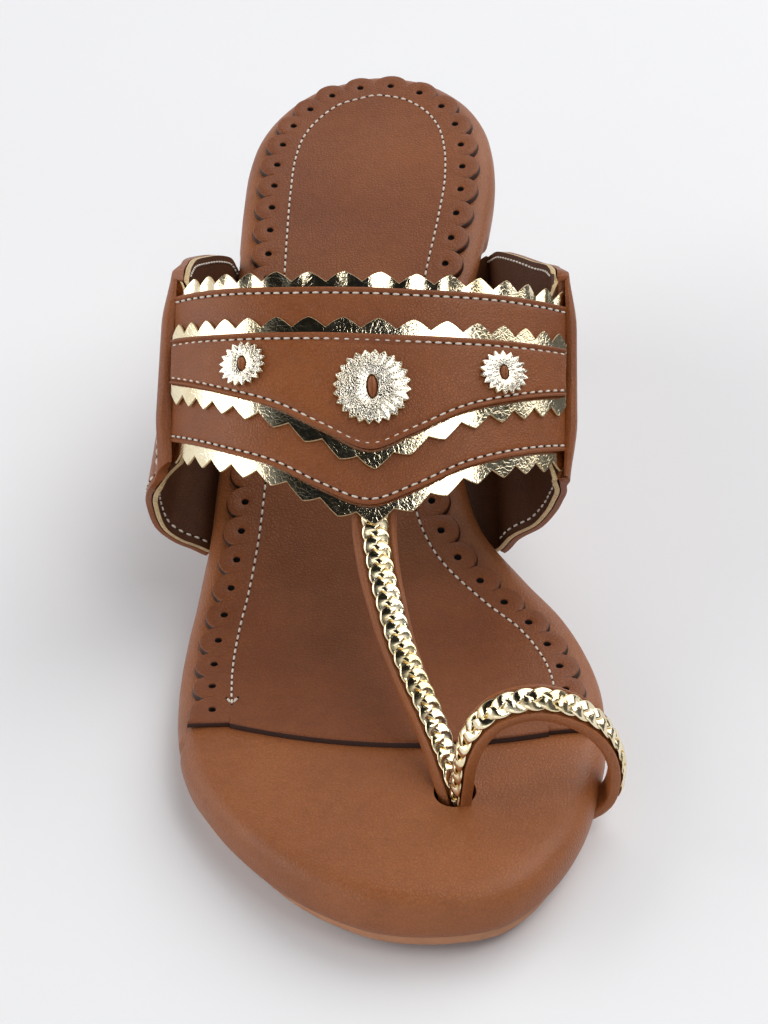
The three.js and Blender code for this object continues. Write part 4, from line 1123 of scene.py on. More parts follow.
@dataclass
class Sole:
    """Bed, outsole, heel and heel tip."""

    bed: Bed
    rows: int = 190
    top_columns: int = 30
    wrap_notch: float = 188.5
    outsole_inset: float = 2.9
    outsole_waist: float = 3.6
    breast: float = 56.0
    breast_gap: float = 2.3
    heel_inset: float = 1.3
    tip_thick: float = 4.2
    base_width: float = 0.74
    base_length: float = 0.7
    base_setback: float = 6.9
    base_middle: float = 1.5
    base_centre: float = 18.0
    waist_dip: float = 2.2
    slot: tuple[float, float] = (0.157 * Bed.WIDTH, 0.8696 * Bed.LENGTH)
    slot_half: tuple[float, float] = (3.9, 4.4)

    def wall_room(self, station: np.ndarray, depth: float) -> np.ndarray:
        """Extra inset of the wrapped edge where a side wall goes round it."""
        window = ramp(station, 57.5, 60.5) * (1 - ramp(station, 135.0, 139.0))
        return 2.3 * window * ramp(depth, 2.0, 7.5)

    def notch(self, station: np.ndarray, depth: float) -> np.ndarray:
        """Pleat in the wrap where the front cover starts, and the fuller edge before it."""
        pleat = 0.7 * bump(station, self.wrap_notch, 0.7) * ramp(depth, 0.6, 2.0)
        return pleat - 0.35 * ramp(station, self.wrap_notch, self.wrap_notch + 2) \
            * (1 - ramp(station, 196, 206)) * ramp(depth, 0.8, 3.0)

    def bed_net(self) -> np.ndarray:
        """Net round the bed: under face, edge roll, top, edge roll, under face."""
        bed = self.bed
        rows = np.linspace(0, bed.spans, self.rows)
        turn = Spline(np.column_stack([bed.roll, np.zeros(len(bed.roll))]))
        roll = turn.at(np.linspace(0, 1, 16))[:, :2]
        rings: dict[Side, list[np.ndarray]] = {Side.LATERAL: [], Side.MEDIAL: []}
        for side, ring in rings.items():
            for inset, depth in roll:
                flat = bed.edge(rows, side, 0)
                extra = self.wall_room(flat[:, 1], depth) + self.notch(flat[:, 1], depth)
                flat = bed.edge(rows, side, inset + extra)
                ring.append(bed.place(flat[:, 0], flat[:, 1], -depth))
        top = []
        first = bed.edge(rows, Side.LATERAL, roll[0, 0])
        last = bed.edge(rows, Side.MEDIAL, roll[0, 0])
        for u in np.linspace(0, 1, self.top_columns + 1)[1:-1]:
            flat = first + (last - first) * u
            top.append(bed.place(flat[:, 0], flat[:, 1], bed.cup(flat[:, 0], flat[:, 1])))
        lateral, medial = rings[Side.LATERAL], rings[Side.MEDIAL]
        middle = (lateral[-1] + medial[-1]) / 2
        under = [middle + (lateral[-1] - middle) * u for u in (0, 0.35, 0.7)]
        under_medial = [middle + (medial[-1] - middle) * u for u in (0.7, 0.35, 0)]
        columns = under + lateral[::-1] + top + medial + under_medial
        return np.stack(columns, axis=1)

    def make_bed(self) -> Piece:
        """Padded bed wrapped in leather, with the slot for the two straps."""
        piece = Piece.sheet("footbed_wrap", self.bed_net(), loop=True)
        centre = self.bed.place(self.slot[0], self.slot[1], 0.0)
        Piece.clear()
        bpy.ops.mesh.primitive_cylinder_add(
            vertices=48, radius=MM, depth=16 * MM, location=tuple(centre * MM),
            scale=(self.slot_half[0], self.slot_half[1], 1.0))
        post = bpy.context.object
        bpy.ops.object.transform_apply(location=True, rotation=True, scale=True)
        piece.dress(Dress.BED, Dress.LINING)
        # Painted shade: the walls cut for the slot take the darker lining leather.
        post.data.materials.append(Dress.LINING.material)
        piece.modify("BOOLEAN", object=post, operation="DIFFERENCE", solver="EXACT")
        bpy.data.objects.remove(post)
        return piece.smooth(38).seat("wrap_leather", "footbed")

    def make_outsole(self) -> Piece:
        """Thin sole from the breast of the heel to the toe."""
        bed = self.bed
        count = 150

        def ring(side: Side, extra: float) -> np.ndarray:
            """Flat places of one level."""
            start = bed.row_at(self.breast, side)
            rows = start + (bed.spans - start) * np.linspace(0, 1, count)
            station = bed.edge(rows, side, 0)[:, 1]
            waist = bump(station, 0.417 * bed.LENGTH, 48)
            inset = self.outsole_inset + (self.outsole_waist - self.outsole_inset) * waist
            return bed.edge(rows, side, inset + extra)

        levels = [(0.5, 0.0), (0.1, 0.08), (0.0, 0.22), (0.0, 0.5), (0.15, 0.72), (0.45, 0.9),
                  (1.0, 1.0)]
        rings = {side: [] for side in Side}
        for side in Side:
            for extra, share in levels:
                flat = ring(side, extra)
                depth = bed.THICK + bed.GAP + bed.SOLE_THICK * share
                points = bed.place(flat[:, 0], flat[:, 1], -depth)
                points[:, 2] = np.maximum(points[:, 2], 0.0)
                rings[side].append(points)
        lateral, medial = rings[Side.LATERAL], rings[Side.MEDIAL]
        shares = np.linspace(0, 1, 13)[1:-1]
        top = [lateral[0] + (medial[0] - lateral[0]) * u for u in shares[::-1]]
        under = [lateral[-1] + (medial[-1] - lateral[-1]) * u for u in shares]
        net = np.stack(lateral + under + medial[::-1] + top + [lateral[0]], axis=1)
        net[:, :, 2] = np.maximum(net[:, :, 2], 0.0)
        piece = Piece.sheet("outsole_skin", net, loop=True)
        bpy.ops.object.mode_set(mode="EDIT")
        bpy.ops.mesh.select_all(action="DESELECT")
        bpy.ops.mesh.select_mode(type="EDGE")
        bpy.ops.mesh.select_non_manifold(extend=False)
        bpy.ops.mesh.edge_face_add()
        bpy.ops.mesh.select_all(action="SELECT")
        bpy.ops.mesh.normals_make_consistent(inside=False)
        bpy.ops.object.mode_set(mode="OBJECT")
        return piece.smooth(50).dress(Dress.SOLE).seat("outsole", "outsole")

    def seat_loop(self, inset: float) -> np.ndarray:
        """Flat loop of the heel seat, up the lateral side and back down the medial one."""
        sides = []
        for side in Side:
            last = self.bed.row_at(self.breast - self.breast_gap, side)
            rows = last * np.linspace(0, 1, 46) ** 0.9
            sides.append(self.bed.edge(rows, side, inset))
        return np.vstack([sides[0], sides[1][::-1][:-1]])

    def base(self, flat: np.ndarray, z: float) -> np.ndarray:
        """Points of the heel base under flat places of the seat."""
        back = self.bed.place(0, 0, 0)[1] - self.base_setback
        x = self.base_middle + (flat[:, 0] - self.base_middle) * self.base_width
        return np.column_stack([x, back - flat[:, 1] * self.base_length, np.full(len(x), z)])

    def stack(self, name: str, rings: list[np.ndarray]) -> Piece:
        """Closed block from rings of points, each end drawn to its middle."""
        first, last = rings[0], rings[-1]
        caps = [np.repeat(ring.mean(axis=0)[None], len(ring), axis=0) for ring in (first, last)]
        net = np.stack([caps[0], *rings, caps[1]], axis=0)
        net = np.concatenate([net, net[:, :1]], axis=1)
        return Piece.sheet(name, net, loop=True)

    def make_heel(self) -> Piece:
        """Leather-covered block heel, drawn in at its waist."""
        flat = self.seat_loop(self.heel_inset)
        top = self.bed.place(flat[:, 0], flat[:, 1], -(self.bed.THICK + self.bed.GAP))
        foot = self.base(flat, self.tip_thick + self.bed.GAP)
        back = self.bed.place(0, 0, 0)[1] - self.base_setback
        rings = []
        for u in np.linspace(0, 1, 30):
            point = top + (foot - top) * u
            inward = np.array([self.base_middle, back - self.base_centre, 0]) - point
            inward[:, 2] = 0
            rings.append(point + unit(inward) * self.waist_dip * math.sin(math.pi * u))
        piece = self.stack("heel_cover", rings)
        return piece.soften(1.1, 3, 48).smooth(45).dress(Dress.HEEL).seat("wrap_leather", "heel")

    def make_tip(self) -> Piece:
        """Worn rubber tip under the heel."""
        levels = [(0.45, 1.0), (0.2, 0.97), (0.0, 0.86), (0.05, 0.5), (0.25, 0.16), (0.55, 0.04),
                  (0.95, 0.0)]
        rings = []
        for extra, share in levels:
            flat = self.seat_loop(self.heel_inset - 0.2 + extra)
            rings.append(self.base(flat, self.tip_thick * share))
        return self.stack("heel_tip_rubber", rings).smooth(50).dress(Dress.TIP).seat(
            "tip", "heel_tip")

    def build(self) -> None:
        """Makes the pieces from the ground up."""
        self.make_outsole()
        self.make_heel()
        self.make_tip()
        self.make_bed()


@dataclass
class Sock:
    """Sock lining with a scalloped edge and one punched hole in each scallop, with painted shade in
    the holes and along the cut edges.
    """

    bed: Bed
    sewing: Sewing
    thick: float = 1.1
    hole_inset: float = 7.2
    arch_inset: float = 1.8
    pitch: float = 7.05
    radius: float = 3.8
    hole: float = 0.72
    frame: float = 3.2
    FRONT: ClassVar[dict] = {Side.LATERAL: 0.775 * Bed.LENGTH, Side.MEDIAL: 0.808 * Bed.LENGTH}
    front_middle: float = 0.811 * Bed.LENGTH
    front_inset: float = 2.2
    slant: float = 1.5
    seam_inset: float = 3.8
    seam_nearer: float = 1.7
    bow_cells: float = 3.0
    columns: int = 26
    samples: int = 1200

    def holes(self, row: np.ndarray, side: Side) -> np.ndarray:
        """Inset of the line of holes, deeper along the arch of the foot."""
        if side is Side.LATERAL:
            return np.full(np.shape(row), self.hole_inset)
        station = self.bed.edge(row, side, 0)[:, 1]
        return self.hole_inset + self.arch_inset * bump(station, 0.583 * Bed.LENGTH, 22)

    def side_rows(self, side: Side) -> tuple[np.ndarray, np.ndarray]:
        """Rows of the outline and the length along the line of holes up to each."""
        rows = np.linspace(0, self.bed.row_at(self.FRONT[side], side), self.samples)
        flat = self.bed.edge(rows, side, self.holes(rows, side))
        return rows, along(flat)

    def flat(self, side: Side, cell: np.ndarray, out: np.ndarray, teeth: int) -> np.ndarray:
        """Flat places by cell along the edge and distance outward from the line of holes."""
        rows, lengths = self.lines[side]
        row = np.interp(np.asarray(cell) / teeth * lengths[-1], lengths, rows)
        return self.bed.edge(row, side, self.holes(row, side) - out)

    def lay(self, flat: np.ndarray, drop: np.ndarray) -> np.ndarray:
        """Points on the lining, lowered under its top face."""
        x, station = flat[:, 0], flat[:, 1]
        height = self.bed.GAP + self.thick + self.bed.cup(x, station) - drop
        return self.bed.place(x, station, height)

    def cell(self, side: Side, index: int, teeth: int) -> tuple[np.ndarray, int]:
        """Points of one scallop as rings from its hole to its border.

        Args:
            side: The side of the shoe.
            index: Number of the scallop from the heel.
            teeth: Count of the scallops on the side.

        Returns:
            Points, ring after ring, and how many points a ring has.
        """
        half = self.pitch / 2
        off = np.linspace(-half, half, 11)
        rise = np.sqrt(self.radius**2 - off**2)
        last = index == teeth - 1
        if last:
            row = self.lines[side][0][-1]
            holes = float(self.holes(np.array([row]), side)[0])
            forward = np.clip((off + half) / self.pitch, 0, 1)
            rise = rise + (holes - self.front_inset - rise) * forward
        down = np.linspace(rise[-1], -self.frame, 5)[1:-1]
        up = np.linspace(-self.frame, rise[0], 5)[1:-1]
        across = np.linspace(half, -half, 7)
        border = np.vstack([
            np.column_stack([off, rise]),
            np.column_stack([np.full(3, half), down]),
            np.column_stack([across, np.full(7, -self.frame)]),
            np.column_stack([np.full(3, -half), up]),
        ])
        open_edge = np.zeros(len(border), bool)
        open_edge[:11] = True
        if last:
            open_edge[10:15] = True
        reach = np.linalg.norm(border, axis=1, keepdims=True)
        ray = border / reach
        rings, drops = [], []

        def add(points: np.ndarray, drop: np.ndarray | float) -> None:
            """Adds a ring with its depth under the top face."""
            rings.append(points)
            drops.append(np.broadcast_to(drop, len(points)))

        add(ray * 0.02, 1.05)
        add(ray * self.hole * 0.94, 1.05)
        add(ray * self.hole, 0.25)
        add(ray * (self.hole + 0.08), 0.06)
        add(ray * (self.hole + 0.28), 0.0)
        add(ray * (self.hole + 0.28) + (border - ray * (self.hole + 0.28)) * 0.5, -0.05)
        add(ray * np.where(open_edge[:, None], reach - 0.5, reach * 0.9), 0.0)
        add(ray * np.where(open_edge[:, None], reach - 0.16, reach * 0.96),
            np.where(open_edge, 0.1, 0.0))
        add(border, np.where(open_edge, 0.36, 0.0))
        # The last ring is a skirt 0.2 mm past the open edge, down on the bed, painted dark as a
        # shadow line.
        add(border + ray * 0.2 * open_edge[:, None], np.where(open_edge, self.thick + 0.2, 0.0))
        place = np.vstack(rings)
        flat = self.flat(side, index + 0.5 + place[:, 0] / self.pitch, place[:, 1], teeth)
        if last:
            ahead = np.clip(place[:, 0] / self.pitch + 0.5, 0, 1)
            inward = np.clip((rise[-1] - place[:, 1]) / (rise[-1] + self.frame), 0, 1)
            flat[:, 1] += self.slant * ahead * inward
        return self.lay(flat, np.concatenate(drops)), len(border)

    def build(self) -> None:
        """Makes the lining, its holes and its seam."""
        self.lines = {side: self.side_rows(side) for side in Side}
        teeth = round(self.lines[Side.LATERAL][1][-1] / self.pitch)
        points, faces, dark, start = [], [], [], 0
        for side in Side:
            for index in range(teeth):
                some, count = self.cell(side, index, teeth)
                points.append(some)
                for ring in range(len(some) // count - 1):
                    for k in range(count):
                        a, b = ring * count + k, ring * count + (k + 1) % count
                        face = (a, b, b + count, a + count)
                        face = face if side is Side.MEDIAL else face[::-1]
                        faces.append(tuple(v + start for v in face))
                        # Painted shade: the bottom and lower wall of each hole take the near-black
                        # finish, the cut edge and its skirt the dark one.
                        dark.append(1 if ring < 2 else 2 if ring == 8 else 0)
                start += len(some)
        steps = teeth * 6
        cells = np.linspace(0, teeth, steps + 1)
        first = self.flat(Side.LATERAL, cells, np.full(steps + 1, -self.frame), teeth)
        last = self.flat(Side.MEDIAL, cells, np.full(steps + 1, -self.frame), teeth)
        end = np.clip(cells - teeth + 1, 0, 1) * self.slant
        first[:, 1] += end
        last[:, 1] += end
        bow = self.front_middle - (first[-1, 1] + last[-1, 1]) / 2
        grow = np.clip((cells - teeth + self.bow_cells) / self.bow_cells, 0, None)
        shares = np.linspace(0, 1, self.columns + 1)
        flat = first[:, None] + (last - first)[:, None] * shares[None, :, None]
        flat[:, :, 1] += (4 * shares * (1 - shares))[None] * bow * grow[:, None]
        drops = np.zeros(len(flat) + 3)
        drops[-3:] = 0.08, 0.36, self.thick + 0.24
        flat = np.concatenate([flat, np.repeat(flat[-1:], 3, axis=0)], axis=0)
        flat[-3:, :, 1] += np.array([0.14, 0.26, 0.46])[:, None]
        rows, width = flat.shape[:2]
        net = self.lay(flat.reshape(-1, 2), np.repeat(drops, width))
        for i in range(rows - 1):
            for j in range(width - 1):
                a = start + i * width + j
                faces.append((a, a + width, a + width + 1, a + 1))
                # The front cut edge and its skirt take the dark finish, a painted shadow line.
                dark.append(2 if i == rows - 2 else 0)
        points.append(net)
        piece = Piece.mesh("sock_leather", np.vstack(points), faces)
        piece.dress(Dress.SOCK, Dress.HOLE, Dress.CUT_DARK)
        piece.obj.data.polygons.foreach_set("material_index", np.array(dark, int))
        piece.weld(0.01, shed=False)
        self.face_up(piece)
        piece.smooth(40).seat("sock_leather", "sock_lining")
        seams = []
        for side in Side:
            cells = np.linspace(0.0, teeth - 0.55, 900)
            nearer = self.seam_nearer * ramp(cells, teeth * 0.55, teeth) * (side is Side.MEDIAL)
            out = nearer - self.seam_inset
            flat = self.flat(side, cells, out, teeth)
            path = self.lay(flat, np.zeros(900))
            above = self.lay(flat, np.full(900, -1.0))
            seams.append((path, above - path))
            for tilt in (-1.0, 1.0):
                tail = np.linspace(0, 1, 20)[:, None]
                end = flat[-1] + np.array([tilt * 1.3, -2.4]) * tail
                seams.append((self.lay(end, np.full(20, -0.1)),
                              self.lay(end, np.full(20, -1.1)) - self.lay(end, np.full(20, -0.1))))
        self.sewing.sew("sock_seam", seams, "sock_leather")

    @staticmethod
    def face_up(piece: Piece) -> None:
        """Turns the skin over if its faces point down."""
        total = sum(p.normal.z * p.area for p in piece.obj.data.polygons)
        if total < 0:
            piece.obj.data.flip_normals()


@dataclass
class Instep:
    """Side walls and lining of the upper, and the panels over them."""

    bed: Bed
    vault: Vault
    sewing: Sewing
    columns: int = 96
    rows: int = 26
    lining: float = 1.0
    lining_end: float = 16.0
    lining_steps: int = 90
    panel: float = 1.2
    reach: float = 0.6
    fold_rise: float = 2.7
    fold_low: float = 0.6
    fold_round: float = 1.9
    fold_width: float = 2.6
    seam_step: float = 4.6

    def __post_init__(self) -> None:
        """Lays the two side walls."""
        self.walls = {side: Wall(self.bed, self.vault, side) for side in Side}

    def make_lining(self) -> Piece:
        """One wall from under the bed, over the instep, to under the bed again."""
        w = np.linspace(0, 1, self.rows)
        outer = Layer.LINING.value[1]
        net = []
        down = np.linspace(0, self.lining_end, self.lining_steps)
        for k in down[:0:-1]:
            net.append(self.walls[Side.LATERAL].at(k, w, outer))
        for q in self.vault.share(np.linspace(0, 1, self.columns + 1)):
            blend = min(min(q, 1 - q) * 32, 1)
            side = Side.LATERAL if q < 0.5 else Side.MEDIAL
            back, front = self.vault.ends(side)
            inside_front = float(self.vault.edge(q, 4)) + self.reach
            inside_back = float(self.vault.edge(q, 1)) - self.reach
            front += (inside_front - front) * blend
            back += (inside_back - back) * blend
            r = front + (back - front) * w
            net.append(self.vault.face(self.vault.band_x(q, r, 0), r, outer))
        for k in down[1:]:
            net.append(self.walls[Side.MEDIAL].at(k, w, outer))
        piece = Piece.sheet("upper_lining", np.stack(net))
        Instep.outward(piece, self.vault)
        piece.dress(Dress.LINING, Dress.CUT).thick(self.lining, rim=1)
        return piece.soften(0.22, 2).smooth(45).seat("lining_leather", "upper")

    @staticmethod
    def outward(piece: Piece, vault: Vault) -> None:
        """Turns a sheet over if it faces into the shoe."""
        mesh = piece.obj.data
        centre = np.array([1.5, vault.back[1] - 8, 38.0]) * MM
        total = sum((np.array(p.center) - centre) @ np.array(p.normal) * p.area
                    for p in mesh.polygons)
        if total < 0:
            mesh.flip_normals()

    def panel_rise(self, distance: float, w: np.ndarray) -> np.ndarray:
        """Rise of the panel: its rolled edge at the seam and the dip at the stitches.

        Args:
            distance: Distance down the wall from the seam.
            w: Shares from the front edge to the back one.

        Returns:
            Rise at each share.
        """
        near = 1 - min(distance / self.fold_round, 1)
        roll = self.fold_low + (self.fold_rise - self.fold_low) * math.sqrt(1 - near * near)
        fall = 1 - ramp(np.array(distance), self.fold_width, self.fold_width + 5.0)
        ends = ramp(w, -0.05, 0.28) * (1 - ramp(w, 0.72, 1.05))
        dip = 0.3 * bump(np.array(distance), self.seam_step, 0.5)
        return roll * fall * (0.4 + 0.6 * ends) - dip * ends

    def make_panel(self, side: Side) -> Piece:
        """Panel over the end of the band and down to the edge of the bed."""
        wall = self.walls[side]
        w = np.linspace(0, 1, self.rows)
        last = wall.steps - 2 * wall.STEPS
        ks = np.concatenate([np.linspace(0, 2, 26)[:-1], np.linspace(2, last, 60)])
        distances = wall.depths(ks)
        outer = Layer.PANEL.value[1]
        net, weights = [], []
        full = self.panel + self.fold_rise
        for k, distance in zip(ks, distances):
            rise = self.panel_rise(distance, w)
            net.append(wall.at(k, w, outer + rise))
            weights += list((self.panel + np.maximum(rise, 0)) / full)
        name = f"{side.name.lower()}_panel"
        piece = Piece.sheet(f"{name}_leather", np.stack(net))
        Instep.outward(piece, self.vault)
        net_points = np.stack(net) * MM
        order = self.match(piece, net_points)
        piece.thick(full, weights=np.array(weights)[order]).soften(0.42, 3)
        return piece.smooth(45).dress(Dress.BAND).seat("upper_leather", name)

    @staticmethod
    def match(piece: Piece, net: np.ndarray) -> np.ndarray:
        """Index in the net of each point of a fresh sheet."""
        flat = vertices_of(piece.obj.data)
        table = {tuple(np.rint(p * 1e7).astype(int)): i for i, p in enumerate(net.reshape(-1, 3))}
        return np.array([table.get(tuple(np.rint(p * 1e7).astype(int)), 0) for p in flat])

    def seams(self) -> None:
        """Stitches of the panels and of the lining's free edges."""
        lines, inside = [], []
        for side in Side:
            wall = self.walls[side]
            ks = np.linspace(0, 2, 60)
            k = float(np.interp(self.seam_step, wall.depths(ks), ks))
            w = np.linspace(0.04, 0.96, 200)
            outer = Layer.PANEL.value[1] + self.panel_rise(self.seam_step, w) + 0.05
            path = wall.at(k, w, outer)
            lines.append((path, wall.at(k, w, outer + 1) - path))
            down = np.linspace(k, wall.steps - 2 * wall.STEPS - 0.6, 160)
            inner = Layer.LINING.value[1] - self.lining - 0.02
            for end in (0.0, 1.0):
                for offset, lift, store, start in ((Layer.PANEL.value[1] + 0.02, 1.0, lines, k),
                                                   (inner, -1.0, inside, 0)):
                    path, up = [], []
                    for step in down:
                        chord = wall.ruled(step, np.array([0.0, 1.0]))
                        share = 1.6 / np.linalg.norm(chord[1] - chord[0])
                        at = np.array([abs(end - share)])
                        here = wall.at(step, at, offset)[0]
                        path.append(here)
                        up.append(wall.at(step, at, offset + lift)[0] - here)
                    store.append((np.array(path), np.array(up)))
        self.sewing.sew("panel_seams", lines, "upper_leather")
        self.sewing.sew("lining_seams", inside, "lining_leather")

    def build(self) -> None:
        """Makes the lining, both panels and their seams."""
        self.make_lining()
        for side in Side:
            self.make_panel(side)
        self.seams()


@dataclass
class Band:
    """Layers over the instep: strips, pinked trims, middle band and rosettes."""

    vault: Vault
    sewing: Sewing
    tuck: float = 3.0
    teeth: int = 16
    tip: float = 3.6
    valley: float = 1.5
    seam: float = 1.15
    CLEAR: ClassVar[dict] = {Layer.LOWER_TRIM: -1.6, Layer.STRIP: -0.3, Layer.UPPER_TRIM: 0.4,
                             Layer.MIDDLE: 1.5}
    spread: float = 0.25
    fine: int = 10
    rosettes: tuple = (
        ("centre", 0.019, -0.49, 7.5, 24, 1.1, 2.4),
        ("lateral", -0.276, -0.323, 4.4, 18, 0.9, 1.6),
        ("medial", 0.318, -0.434, 4.4, 18, 0.9, 1.6),
    )

    def tooth(self, u: np.ndarray, sharp: float) -> np.ndarray:
        """Height of the pinked edge.

        Args:
            u: Places along the edge, from 0 to 1.
            sharp: 1 for pointed teeth, 0 for rounded ones.

        Returns:
            Distance of the edge past the strip.
        """
        point = np.abs((u * self.teeth * 2 + 1) % 2 - 1)
        round_top = np.abs(np.sin(math.pi * self.teeth * u))
        height = sharp * point + (1 - sharp) * round_top
        return self.valley + (self.tip - self.valley) * height

    def net(self, q: np.ndarray, front: np.ndarray, back: np.ndarray, shares: np.ndarray,
            offset: np.ndarray | float, layer: Layer) -> np.ndarray:
        """Net over the vault between two edges."""
        r = front[:, None] + (back - front)[:, None] * shares[None]
        x = self.vault.band_x(q[:, None], r, self.CLEAR[layer])
        return self.vault.face(x, r, np.broadcast_to(offset, r.shape))

    def strip(self, name: str, layer: Layer, front: np.ndarray, back: np.ndarray, q: np.ndarray,
              sewn: Sequence[str]) -> Piece:
        """Leather strip with rounded edges and a dip along each seam."""
        width = float(np.mean(back - front))
        marks = (0.0, 0.15, 0.3, 0.45, 0.6, 0.8, 1.0, 1.15, 1.3, 1.55, 1.9, 2.6)
        shares = spaced(marks, width, 5, True)
        distance_front = shares * width
        distance_back = (1 - shares) * width
        form = np.zeros(len(shares))
        for edge, distance in (("front", distance_front), ("back", distance_back)):
            if edge in sewn:
                form += 0.2 * bump(distance, 0.42, 0.34) - 0.3 * bump(distance, self.seam, 0.32)
        low, high = layer.value
        piece = Piece.sheet(name + "_leather", self.net(q, front, back, shares,
                                                        high + form[None], layer))
        Instep.outward(piece, self.vault)
        piece.thick(high - low).soften(0.3, 3).smooth(45)
        return piece.dress(Dress.BAND).seat("upper_leather", name)

    def trim(self, name: str, layer: Layer, front: np.ndarray, back: np.ndarray, q: np.ndarray,
             wave: np.ndarray) -> Piece:
        """Pinked strip of gold foil, a little curled between its teeth."""
        shares = np.linspace(0, 1, 7)
        low, high = layer.value
        offset = high + wave[:, None] * shares[None]
        piece = Piece.sheet(name + "_foil", self.net(q, front, back, shares, offset, layer))
        Instep.outward(piece, self.vault)
        piece.dress(Dress.FOIL, Dress.CUT).thick(high - low, rim=1)
        return piece.soften(0.08, 1).smooth(40).seat("foil", name)

    def seam_line(self, layer: Layer, q: np.ndarray, r: np.ndarray) -> tuple:
        """Path and normals of a seam on a strip."""
        offset = layer.value[1] - 0.2
        x = self.vault.band_x(q, r, self.CLEAR[layer])
        path = self.vault.face(x, r, offset)
        return path, self.vault.face(x, r, offset + 1) - path

    def rosette(self, name: str, x: float, r: float, radius: float, teeth: int, slot_x: float,
                slot_r: float) -> None:
        """Pinked foil rosette, and the leather thong drawn through its slot."""
        x, r = x * Bed.WIDTH, r * Vault.DEPTH
        around = np.linspace(0, 2 * math.pi, teeth * 8 + 1)
        saw = 1 - np.abs(((around / (2 * math.pi) * teeth * 2) % 2) - 1)
        low, high = Layer.ROSETTE.value
        rings = []
        for share in np.linspace(0, 1, 12):
            outer = radius - 1.0 + 1.0 * saw
            reach_x = slot_x + (outer - slot_x) * share
            reach_r = slot_r + (outer - slot_r) * share
            rise = 0.22 * math.sin(math.pi * min(share * 1.15, 1)) \
                + 0.07 * np.sin(around * 5 + share * 4) * share
            rings.append(self.vault.face(x + reach_x * np.cos(around),
                                         r + reach_r * np.sin(around), high + rise))
        piece = Piece.sheet(name + "_rosette_foil", np.stack(rings), loop=True)
        Instep.outward(piece, self.vault)
        piece.dress(Dress.CRACKLE, Dress.CUT).thick(high - low, rim=1)
        piece.soften(0.1, 1).smooth(40).seat("foil", name + "_rosette")
        Piece.clear()
        bpy.ops.mesh.primitive_uv_sphere_add(segments=24, ring_count=16, radius=1.0)
        knot = Piece(name + "_thong_leather", bpy.context.object)
        ball = vertices_of(knot.obj.data)
        groove = 0.28 * bump(ball[:, 0], 0.0, 0.16) * (ball[:, 2] > 0)
        points = self.vault.face(x + ball[:, 0] * (slot_x - 0.22) * (1 + 0.1 * ball[:, 1]),
                                 r + ball[:, 1] * (slot_r - 0.2),
                                 high - 0.3 + ball[:, 2] * 1.0 - groove)
        move_vertices(knot.obj.data, points)
        knot.smooth(80).dress(Dress.STRAP).seat("upper_leather", name + "_thong")

    def build(self) -> None:
        """Lays the band from its lowest layer up."""
        u = np.linspace(0, 1, self.teeth * 2 * self.fine + 1)
        wider = u - self.spread * np.sin(2 * math.pi * u) / (2 * math.pi)
        q = self.vault.share(wider)
        back, middle_back = self.vault.edge(q, 1), self.vault.edge(q, 2)
        middle_front, front = self.vault.edge(q, 3), self.vault.edge(q, 4)
        rounded, pointed = self.tooth(u, 0.45), self.tooth(u, 0.7)
        curl = 0.25 * np.sin(u * 41) + 0.2 * np.sin(u * 97 + 2)
        self.trim("back_trim", Layer.LOWER_TRIM, back - self.tuck, back + rounded, q, curl)
        self.trim("front_trim", Layer.LOWER_TRIM, front - pointed, front + self.tuck, q, 0 * curl)
        self.strip("back_strip", Layer.STRIP, middle_back - self.tuck, back, q, ["back"])
        self.strip("front_strip", Layer.STRIP, front, middle_front + self.tuck, q, ["front"])
        self.trim("middle_back_trim", Layer.UPPER_TRIM, middle_back - self.tuck,
                  middle_back + rounded, q, 0 * curl)
        self.trim("middle_front_trim", Layer.UPPER_TRIM, middle_front - pointed,
                  middle_front + self.tuck, q, 0 * curl)
        self.strip("middle_band", Layer.MIDDLE, middle_front, middle_back, q, ["front", "back"])
        lines = [
            self.seam_line(Layer.STRIP, q, back - self.seam),
            self.seam_line(Layer.STRIP, q, front + self.seam),
            self.seam_line(Layer.MIDDLE, q, middle_back - self.seam),
            self.seam_line(Layer.MIDDLE, q, middle_front + self.seam),
        ]
        self.sewing.sew("band_seams", lines, "upper_leather")
        for row in self.rosettes:
            self.rosette(*row)


